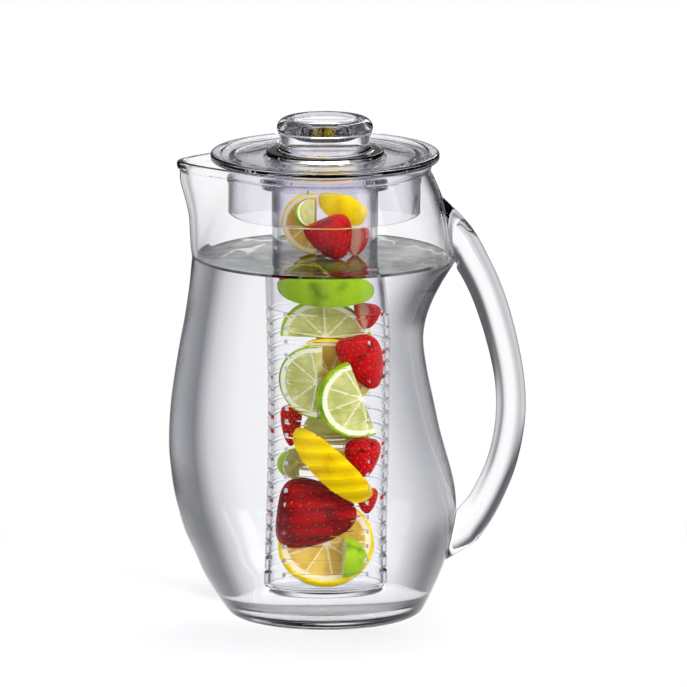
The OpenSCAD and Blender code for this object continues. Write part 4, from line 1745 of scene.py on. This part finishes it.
@dataclass
class FruitCutter:
    """Builds pieces of fruit as closed meshes that carry their own places and shares.

    Attributes:
        unit: The tube's bore radius, in which the pieces are given.
        seed: Sizes of seeds.
        turn_step: Angle between a piece's columns of faces, in degrees.
        turn_least: Least number of columns.
        flat_rows: Rings on a slice's flat side.
        edge_rows: Rings on a slice's round edge.
        edge_share: Radius of that edge, in half thicknesses.
        wedge_rows: Points on a wedge's outline.
        wedge_power: Power of the cosine that gives its outline, below 1 for a full one.
        berry_rows: Points on a berry's outline.
        face_rows: Points across a cut face.
        face_power: Power that crowds them towards the rind.
        size_shade_pace: How fast the painted shade of a berry grows with its size.
        size_shade_from: Shade that is taken off.
        size_shade_most: Greatest shade.
        rind: Share of the way out at which pits and ribs start.
    """

    unit: float = TUBE.bore_r
    seed: SeedSize = SeedSize()
    turn_step: float = 2.5
    turn_least: int = 16
    flat_rows: int = 26
    edge_rows: int = 9
    edge_share: float = 0.4
    wedge_rows: int = 73
    wedge_power: float = 0.8
    berry_rows: int = 64
    face_rows: int = 22
    face_power: float = 0.8
    size_shade_pace: float = 2.4
    size_shade_from: float = 0.95
    size_shade_most: float = 0.42
    rind: float = 0.99

    def outline(self, piece: Piece) -> tuple[np.ndarray, np.ndarray]:
        """The half outline of a piece and the share of the way to the rind along it.

        A slice is flat with a round edge, a wedge's radius is a power of a cosine, and a berry's
        is a smooth curve through its table.

        Args:
            piece: The piece.

        Returns:
            Rows of radius and height, and their shares.
        """
        r, length = piece.size[0] * self.unit, piece.size[1] * self.unit
        half = length / 2
        if piece.cut is SLICE:
            soft = self.edge_share * half
            a = np.radians(np.linspace(-90, 90, self.edge_rows))
            rim = np.column_stack(
                [r - soft + soft * np.cos(a), (half - soft) * np.sign(a) + soft * np.sin(a)]
            )
            flat = np.linspace(0, r - soft, self.flat_rows)
            low = np.column_stack([flat, np.full_like(flat, -half)])
            path = np.concatenate([low[:-1], rim, (low * [1, -1])[::-1][1:]])
            return path, path[:, 0] / r
        if piece.cut is WEDGE:
            a = np.radians(np.linspace(-90, 90, self.wedge_rows))
            path = np.column_stack([r * np.maximum(np.cos(a), 0) ** self.wedge_power, half * np.sin(a)])
            return path, np.ones(len(path))
        rows = np.column_stack([np.arange(len(BERRY_SHARES)), BERRY_SHARES])
        path = hermite(rows, np.linspace(0, len(BERRY_SHARES) - 1, self.berry_rows)) * [r, length]
        path[:, 0] = np.maximum(path[:, 0], 0)
        path[[0, -1], 0] = 0
        return path, np.ones(len(path))

    def cut_face(self, piece: Piece, path: np.ndarray) -> tuple[np.ndarray, np.ndarray]:
        """The flat face left by a cut, as a grid that spans the half outline.

        Args:
            piece: The piece.
            path: Its half outline.

        Returns:
            Radius and height of the grid's points, and their shares of the way to the rind.
        """
        if piece.cut is SLICE:
            count = len(path) // 2
            low, high = path[: count + 1], path[::-1][: count + 1]
            return np.stack([low, high]), np.stack([low[:, 0], high[:, 0]]) / path[:, 0].max()
        steps = np.linspace(0, 1, self.face_rows) ** self.face_power
        grid = path[:, None, :] * np.stack([steps, np.ones_like(steps)], axis=-1)[None]
        return grid, np.broadcast_to(steps, grid.shape[:2])

    def build(self, piece: Piece, material: bpy.types.Material) -> bpy.types.Object:
        """Builds one piece: its outline turned through its angle, and a face at each cut.

        Args:
            piece: The piece.
            material: Its material.

        Returns:
            The object.
        """
        path, shares = self.outline(piece)
        span = piece.size[2]
        turn = np.linspace(-span / 2, span / 2, max(self.turn_least, int(span / self.turn_step)) + 1)
        if span == 360:
            turn[-1] = turn[0]
        soup = Soup()
        skin = turn_points(path, turn)
        soup.grid(skin, self.values(skin, shares[:, None], piece))
        if span < 360:
            flat, flat_shares = self.cut_face(piece, path)
            for angle, flip in ((turn[0], False), (turn[-1], True)):
                a, r = math.radians(angle), flat[..., 0]
                face = np.stack([r * math.cos(a), r * math.sin(a), flat[..., 1]], axis=-1)
                soup.grid(face, self.values(face, flat_shares, piece), flip)
        points, polygons, values = soup.weld()
        outside = values[:, 3] > self.rind
        # Painted shade of the skin: in a berry's pits and more on a larger berry, and in bands along the
        # ribs
        pits = np.zeros(len(points))
        if piece.cut is BERRY:
            points, pits = self.dimple(points, outside, piece)
        world = self.seat(points, piece)
        if piece.node in RIBBED_AND_SHADED:
            pits += RIBBED_AND_SHADED[piece.node] * (1 - self.rib(world)) / 2 * outside
        made = make_object(piece.node + "_fruit", world, polygons, material, smooth=40)
        set_values(made, "place", "FLOAT_VECTOR", values[:, :3])
        set_values(made, "share", "FLOAT", values[:, 3])
        set_values(made, "painted_shade", "FLOAT", pits)
        return made

    def values(self, points: np.ndarray, shares: np.ndarray, piece: Piece) -> np.ndarray:
        """Own places, in the fruit's radius, and shares of points."""
        own = points / (piece.size[0] * self.unit)
        return np.concatenate([own, np.broadcast_to(shares, points.shape[:2])[..., None]], axis=-1)

    def seat(self, points: np.ndarray, piece: Piece) -> np.ndarray:
        """Moves points of a piece to its place in the tube, and ribs those behind the slots.

        Args:
            points: Points of the piece.
            piece: The piece.

        Returns:
            Points in the part's frame, in millimetres.
        """
        move = np.array(piece.place) * self.unit + [0, 0, TUBE.bore_z]
        world = points @ (rotation(piece.lean) @ rotation(piece.turn)).T + move
        if piece.node in RIBBED_AND_SHADED:
            world[:, 1] -= RIB_DEPTH * self.rib(world)
        return world

    def rib(self, world: np.ndarray) -> np.ndarray:
        """Height of the ribs at points in the tube, from -1 to 1: a cosine with one wave to a slot."""
        return np.cos(2 * math.pi * (world[:, 2] - TUBE.bore_z) / TUBE.slot_pitch)

    def seeds(self, piece: Piece) -> np.ndarray:
        """Places of a strawberry's seeds on its skin, before it is seated.

        They stand in rows round the berry, every other row shifted by half a gap, and each is
        turned a little out of its even place by a sine.

        Args:
            piece: The berry.

        Returns:
            Rows of place and outward direction.
        """
        r, span, seed = piece.size[0] * self.unit, piece.size[2], self.seed
        path, _ = self.outline(piece)
        rise = np.concatenate([[0], np.cumsum(np.linalg.norm(np.diff(path, axis=0), axis=1))])
        gap = seed.gap + seed.gap_share * r
        rows = np.arange(gap * seed.first_share, rise[-1] * seed.last_share, gap * seed.row_share)
        spots = []
        for row, s in enumerate(rows):
            x, z = (np.interp(s, rise, way) for way in path.T)
            dx, dz = (np.interp(s + seed.ahead, rise, way) - at for way, at in zip(path.T, (x, z)))
            out, up = np.array([dz, -dx]) / math.hypot(dx, dz)
            k = np.arange(max(3, round(2 * math.pi * x / gap)))
            sway = seed.sway * np.sin(seed.sway_pace[0] * k + seed.sway_pace[1] * row)
            turn = (360 * (k + 0.5 * (row % 2)) / len(k) + sway + 180) % 360 - 180
            if span < 360:
                turn = turn[np.abs(turn) <= span / 2 - math.degrees(seed.margin / max(x, 1))]
            a = np.radians(turn)
            ring = np.stack([np.cos(a), np.sin(a)], axis=-1)
            level = np.ones((len(a), 1))
            spots.append(np.concatenate([x * ring, z * level, out * ring, up * level], axis=1))
        return np.concatenate(spots)

    def dimple(
        self, points: np.ndarray, outside: np.ndarray, piece: Piece
    ) -> tuple[np.ndarray, np.ndarray]:
        """Sinks the skin round each seed by a bell curve of the distance from it, and paints shade into
        the sunken skin by the same curve.

        Args:
            points: Points of the berry.
            outside: Which of them lie on the skin.
            piece: The berry.

        Returns:
            The points, and how much painted shade the skin takes there, from 0 to 1.
        """
        spots = self.seeds(piece)
        apart = np.linalg.norm(points[:, None, :] - spots[None, :, :3], axis=-1)
        near = apart.argmin(axis=1)
        wide = self.seed.painted_shade_w + self.seed.painted_shade_w_share * piece.size[0] * self.unit
        pits = np.exp(-((apart.min(axis=1) / wide) ** 2)) * outside * self.seed.painted_shade_d
        # A larger berry takes more painted shade all over
        size_shade = np.clip(piece.size[0] * self.size_shade_pace - self.size_shade_from, 0, self.size_shade_most)
        return points - spots[near, 3:] * (pits * wide)[:, None], pits + size_shade

    def seed_mesh(self, piece: Piece, material: bpy.types.Material) -> bpy.types.Object:
        """Builds the seeds of a berry as one mesh of small closed ellipsoids.

        Args:
            piece: The berry.
            material: The seeds' material.

        Returns:
            The object.
        """
        spots = self.seeds(piece)
        out = spots[:, 3:]
        side = np.cross(np.array([0, 0, 1.0]), out)
        side /= np.maximum(np.linalg.norm(side, axis=1, keepdims=True), TINY)
        lat, lon = np.radians(np.linspace(-90, 90, self.seed.rows)), np.radians(circle(self.seed.around))
        lat, lon = np.meshgrid(lat, lon, indexing="ij")
        ball = (np.cos(lat) * np.cos(lon), np.cos(lat) * np.sin(lon), np.sin(lat))
        sink = self.seed.sink + self.seed.sink_share * piece.size[0] * self.unit
        grains = (spots[:, :3] - out * sink)[:, None, None]
        for way, half, share in zip((side, np.cross(out, side), out), self.seed.half, ball):
            grains = grains + way[:, None, None] * (half * share)[..., None]
        soup = Soup()
        soup.add(grid_quads(grains))
        points, polygons, _ = soup.weld(digits=5)
        return make_object(piece.node + "_seeds", self.seat(points, piece), polygons, material)


# --- Studio -----------------------------------------------------------------


@dataclass(frozen=True)
class Lamp:
    """A soft box.

    Attributes:
        name: Its name.
        spot: Its place in metres.
        size: Width and height in metres.
        power: Power in watts.
    """

    name: str
    spot: tuple[float, float, float]
    size: tuple[float, float]
    power: float

    def make(self, aim: Vector) -> None:
        """Adds the lamp.

        Args:
            aim: The point that it faces, in metres.
        """
        data = bpy.data.lights.new(self.name, "AREA")
        data.shape = "RECTANGLE"
        data.size, data.size_y = self.size
        data.energy = self.power
        place(bpy.data.objects.new(self.name, data), Vector(self.spot), Vector(self.spot) - aim)


def place(made: bpy.types.Object, spot: Vector, away: Vector) -> None:
    """Puts a lamp or the camera into the scene.

    Args:
        made: The object.
        spot: Its place in metres.
        away: The direction from what it faces to itself.
    """
    bpy.context.scene.collection.objects.link(made)
    made.location = spot
    made.rotation_mode = "QUATERNION"
    made.rotation_quaternion = away.to_track_quat("Z", "Y")


@dataclass
class Studio:
    """Floor, lamps, world and camera.

    Attributes:
        elevation: Height of the camera, as an angle in degrees.
        distance: Distance of the camera in metres.
        scale_px_mm: Pixels of the photograph to a millimetre.
        picture_px: Width of the photograph in pixels.
        aim: The point in the middle of the picture, in millimetres.
        lamps: The soft boxes.
        lamp_aim: The point that they face, in metres.
        room: Colours of the room across a quarter of a turn, which every quarter repeats.
        dim: Colour between the quarters' middles.
        dim_side: Shares of the way between them at which it starts.
        dim_rise: Heights, as sines, at which it starts.
        above: Colour of the room above.
        above_rise: Heights at which it starts.
        below: Colour of the room below.
        below_rise: Heights at which it starts.
        box_side: Where a bright box begins and ends across a quarter.
        box_rise: Where it begins and ends in height.
        box_strength: Its strength in reflections.
        mirror_strength: Strength of the rest of the room in reflections.
        soft_colour: Colour of the room's soft light.
        soft_strength: Strength of that light.
        floor_radii: Radii of the floor's rings in millimetres.
        floor_drop: How far the floor lies below the pitcher's foot, in millimetres.
        floor_colour: Display colour of the floor.
        floor_fade: Distances from the middle between which the floor fades, in metres.
        floor_roughness: Roughness of the floor.
        floor_gloss: Strength of its reflections.
        sensor_mm: Width of the camera's sensor in millimetres.
        clip: Least and greatest distance that the camera sees, in metres.
    """

    elevation: float = 11.3
    distance: float = 8.6
    scale_px_mm: float = 1.86
    picture_px: float = 687.0
    aim: tuple[float, float, float] = (9.95, 0.0, 147.1)
    lamps: tuple[Lamp, ...] = (
        Lamp("key", (1.5, -1.4, 1.2), (0.8, 1.4), 25),
        Lamp("fill", (-1.7, -1.2, 1.0), (0.6, 1.4), 8),
        Lamp("top", (0.1, 0.5, 1.9), (1.2, 0.9), 14),
    )
    lamp_aim: tuple[float, float, float] = (0, 0, 0.13)
    room: tuple[tuple[float, str], ...] = (
        (0.0, "D8D8DA"),
        (0.18, "D8D8DA"),
        (0.27, "C2C3C6"),
        (0.35, "DADADD"),
        (0.42, "FCFCFD"),
        (0.5, "FFFFFF"),
        (0.59, "FCFCFD"),
        (0.65, "DEDEE1"),
        (0.70, "8E8F93"),
        (0.75, "A8A9AD"),
        (0.83, "CFD0D3"),
        (1.0, "D8D8DB"),
    )
    dim: str = "55575B"
    dim_side: tuple[float, float] = (0.22, 0.50)
    dim_rise: tuple[float, float] = (-0.19, -0.06)
    above: str = "E2E2E5"
    above_rise: tuple[float, float] = (0.30, 0.80)
    below: str = "ECECEE"
    below_rise: tuple[float, float] = (-0.55, -0.9)
    box_side: tuple[tuple[float, float], ...] = ((0.08, 0.11), (0.25, 0.22))
    box_rise: tuple[tuple[float, float], ...] = ((0.20, 0.24), (0.80, 0.76))
    box_strength: float = 7.0
    mirror_strength: float = 0.25
    soft_colour: tuple[float, float, float, float] = (0.97, 0.98, 1.0, 1.0)
    soft_strength: float = 0.6
    floor_radii: tuple[float, ...] = (900.0, 300.0, 0.0)
    floor_drop: float = 0.1
    floor_colour: str = "F6F6F7"
    floor_fade: tuple[float, float] = (0.12, 0.34)
    floor_roughness: float = 0.6
    floor_gloss: float = 0.1
    sensor_mm: float = 36.0
    clip: tuple[float, float] = (0.1, 100.0)

    def room_colour(self, graph: Graph, side: Any, rise: Any) -> Socket:
        """Colour of the room: bright in the middle of each quarter, and darker between.

        Args:
            graph: The world's graph.
            side: Way from the middle of a quarter, from -0.5 to 0.5.
            rise: Height of the direction, as a sine.

        Returns:
            The colour.
        """
        off_middle = graph.times(graph.math("ABSOLUTE", side), 2.0)
        room = graph.ramp(graph.plus(side, 0.5), self.room)
        dimmed = graph.times(graph.step(off_middle, *self.dim_side), graph.step(rise, *self.dim_rise))
        room = graph.mix(dimmed, room, linear(self.dim))
        room = graph.mix(graph.step(rise, *self.above_rise), room, linear(self.above))
        return graph.mix(graph.step(rise, *self.below_rise), room, linear(self.below))

    def world(self) -> None:
        """Makes the surround, which is white to the camera.

        Soft surfaces get one even light, mirrors a dim room with bright boxes, and clear pieces
        the room at full strength.
        """
        world = bpy.data.worlds.new("studio")
        bpy.context.scene.world = world
        world.use_nodes = True
        world.node_tree.nodes.clear()
        graph = Graph(world.node_tree)
        way = graph.add("ShaderNodeTexCoord").outputs["Generated"]
        x, y, rise = graph.add("ShaderNodeSeparateXYZ", {0: way}).outputs
        quarter = graph.times(graph.math("ARCTAN2", x, y), 2 / math.pi)
        side = graph.minus(graph.math("FRACT", graph.plus(quarter, 0.5)), 0.5)
        room = self.room_colour(graph, side, rise)
        box = self.box_strength
        for value, ends in ((side, self.box_side), (rise, self.box_rise)):
            for low, high in ends:
                box = graph.times(box, graph.step(value, low, high))
        soft, mirrored, through, white = (
            graph.add("ShaderNodeBackground", {"Color": colour, "Strength": strength}).outputs[0]
            for colour, strength in (
                (self.soft_colour, self.soft_strength),
                (room, graph.plus(box, self.mirror_strength)),
                (room, 1.0),
                (grey(1.0), 1.0),
            )
        )
        ray = graph.add("ShaderNodeLightPath").outputs
        # A refracted ray counts as glossy too, so the check for transmission comes last
        lit = graph.choose(ray["Is Glossy Ray"], soft, mirrored)
        lit = graph.choose(ray["Is Transmission Ray"], lit, through)
        graph.surface(graph.choose(ray["Is Camera Ray"], lit, white), "ShaderNodeOutputWorld")

    def floor(self) -> None:
        """Makes a pale floor that fades into the background."""
        path = np.array([[r, -self.floor_drop] for r in self.floor_radii])
        material, graph = new_material("floor")
        at = graph.add("ShaderNodeTexCoord").outputs["Object"]
        away = graph.add("ShaderNodeVectorMath", {0: at}, operation="LENGTH").outputs["Value"]
        inputs = {
            "Base Color": linear(self.floor_colour),
            "Roughness": self.floor_roughness,
            "Specular IOR Level": self.floor_gloss,
        }
        shader = graph.add("ShaderNodeBsdfPrincipled", inputs).outputs[0]
        clear = graph.add("ShaderNodeBsdfTransparent").outputs[0]
        graph.surface(graph.choose(graph.step(away, *self.floor_fade), shader, clear))
        Soup(turn_points(path, circle(96))).make("floor", material)

    def camera(self) -> None:
        """Places the camera where the photograph was taken from."""
        data = bpy.data.cameras.new("camera")
        data.sensor_width = self.sensor_mm
        data.lens = self.scale_px_mm / MM * self.distance * self.sensor_mm / self.picture_px
        data.clip_start, data.clip_end = self.clip
        rise = math.radians(self.elevation)
        back = Vector((0, -math.cos(rise), math.sin(rise)))
        made = bpy.data.objects.new("camera", data)
        place(made, Vector(self.aim) * MM + back * self.distance, back)
        bpy.context.scene.camera = made

    def build(self) -> None:
        """Builds the whole studio."""
        self.world()
        self.floor()
        for lamp in self.lamps:
            lamp.make(Vector(self.lamp_aim))
        self.camera()


# --- Assembly ---------------------------------------------------------------


@dataclass
class Infuser:
    """The whole pitcher with its lid, tube, fruit and water."""

    wall: Wall = field(default_factory=Wall)

    def clear_pieces(self) -> None:
        """Builds the clear pieces and the water."""
        # Each finish's edge colour is painted shade that the piece takes at a slant
        glass = ClearFinish("acrylic", ACRYLIC_IOR, edge="3A3C42", shade_from=0.55)
        thick = ClearFinish("acrylic_thick", ACRYLIC_IOR, edge="34363C", shade_from=0.62)
        cap = ClearFinish("acrylic_lid", ACRYLIC_IOR, clear="F5F4F8", edge="B4B6BA", shade_from=0.6)
        knob = ClearFinish("acrylic_knob", ACRYLIC_IOR, edge="C4C6CA", shade_from=0.6)
        inner = ClearFinish("acrylic_inner", ACRYLIC_IOR, clear="F5F4F8", edge="34363C", shade_from=0.6)
        # The floor of the knob's recess is painted dark, as shade in the recess
        recess_shade = ClearFinish("acrylic_recess_shade", ACRYLIC_IOR, clear="3E4044", edge="3A3C42")
        # Under water the tube refracts little, so that the fruit shows at its photographed width
        wet = ClearFinish("acrylic_in_water", ior=1.12, edge="B0B0B6", shine=0.1)
        sill = ClearFinish("slot_in_water", ior=1.008, clear="FCFCFC", edge="F0F0F2", shine=0.0)
        water = ClearFinish(
            "water", ior=1.16, clear="FAFAFB", edge="DEDFE1", shade_from=0.04, shade_to=0.24
        )
        # The water's top is painted dark as shade, and its ripples add painted highlights
        surface = ClearFinish(
            "water_surface_shade_and_highlights", ior=1.33, clear="2C3230", edge="222726", shine=0.3, ripples_and_highlights=RipplesAndHighlights()
        )
        for builder, finish, node, body in (
            (PitcherBody(self.wall), glass, "pitcher_body", "pitcher"),
            (HandleBar(self.wall), thick, "handle", "pitcher"),
            (LidCap(), cap, "lid", "lid"),
            (KnobHead(), knob, "knob", "lid"),
            (InfuserTube(), inner, "infuser_tube", "infuser"),
        ):
            made = builder.build(finish.make())
            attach(made, body)
            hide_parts(node)
            if node == "knob":
                add_finish(made, recess_shade.make(), self.in_recess_floor)
            if node == "infuser_tube":
                add_finish(made, wet.make(), lambda at, out: at[:, 2] < PITCHER.water_z)
                add_finish(made, sill.make(), self.in_wet_slot)
            report(made, body)
        made = Water(self.wall).build(water.make())
        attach(made, "pitcher")
        add_finish(made, surface.make(), lambda at, out: at[:, 2] > PITCHER.water_z - 1)
        report(made, "pitcher")

    def in_recess_floor(self, at: np.ndarray, out: np.ndarray) -> np.ndarray:
        """Which faces are the two level sides of the floor of the knob's recess, which take painted
        shade.
        """
        middle = KNOB.z + KNOB.h - KNOB.recess_d - KNOB.t / 2
        return (np.abs(out[:, 2]) > 0.5) & (np.abs(at[:, 2] - middle) < KNOB.t / 2 + 1)

    def in_wet_slot(self, at: np.ndarray, out: np.ndarray) -> np.ndarray:
        """Which faces are the level sides of the tube's slots under water.

        Args:
            at: The faces' middles in millimetres.
            out: Their normals.

        Returns:
            One truth value per face.
        """
        level, wet = np.abs(out[:, 2]) > 0.9, at[:, 2] < PITCHER.water_z
        in_wall = np.hypot(at[:, 0], at[:, 1]) > TUBE.bore_r + 0.5
        return level & wet & in_wall & (at[:, 2] > TUBE.z + TUBE.round)

    def fruit(self) -> None:
        """Builds the fruit."""
        group = CitrusPattern().group()
        finishes = {}
        for kind in Citrus:
            name = kind.name.lower()
            for cut, slices in ((SLICE, 1.0), (WEDGE, 0.0)):
                finish = CitrusFinish(name=f"{name}_{cut.value}", citrus=kind, segments=slices)
                finishes[name, cut] = finish.make(group)
        finishes["strawberry", BERRY] = BerryFinish().make()
        seed = PlainFinish("seed", "D07838", roughness=0.45).make()
        cutter = FruitCutter()
        for piece in FRUIT:
            made = cutter.build(piece, finishes[piece.body, piece.cut])
            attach(made, "infuser")
            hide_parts(piece.node)
            berry = piece.cut is BERRY
            report(made, "infuser")
            if berry:
                made = cutter.seed_mesh(piece, seed)
                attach(made, "infuser")
                report(made, "infuser")


def report(made: bpy.types.Object, body: str) -> None:
    """Says in the log which piece was built."""
    log.info("%s: %d faces, on the body %s", made.name, len(made.data.polygons), body)


def settings() -> None:
    """Sets the colour view and the light-path bounces that stacked glass needs."""
    scene = bpy.context.scene
    scene.view_settings.view_transform = "Standard"
    scene.cycles.max_bounces = 28
    scene.cycles.transmission_bounces = 26
    scene.cycles.transparent_max_bounces = 40
    scene.cycles.glossy_bounces = 6
    scene.cycles.diffuse_bounces = 3


def main() -> None:
    """Builds the scene."""
    logging.basicConfig(level=logging.INFO)
    settings()
    infuser = Infuser()
    infuser.clear_pieces()
    infuser.fruit()
    Studio().build()


if __name__ == "__main__":
    main()
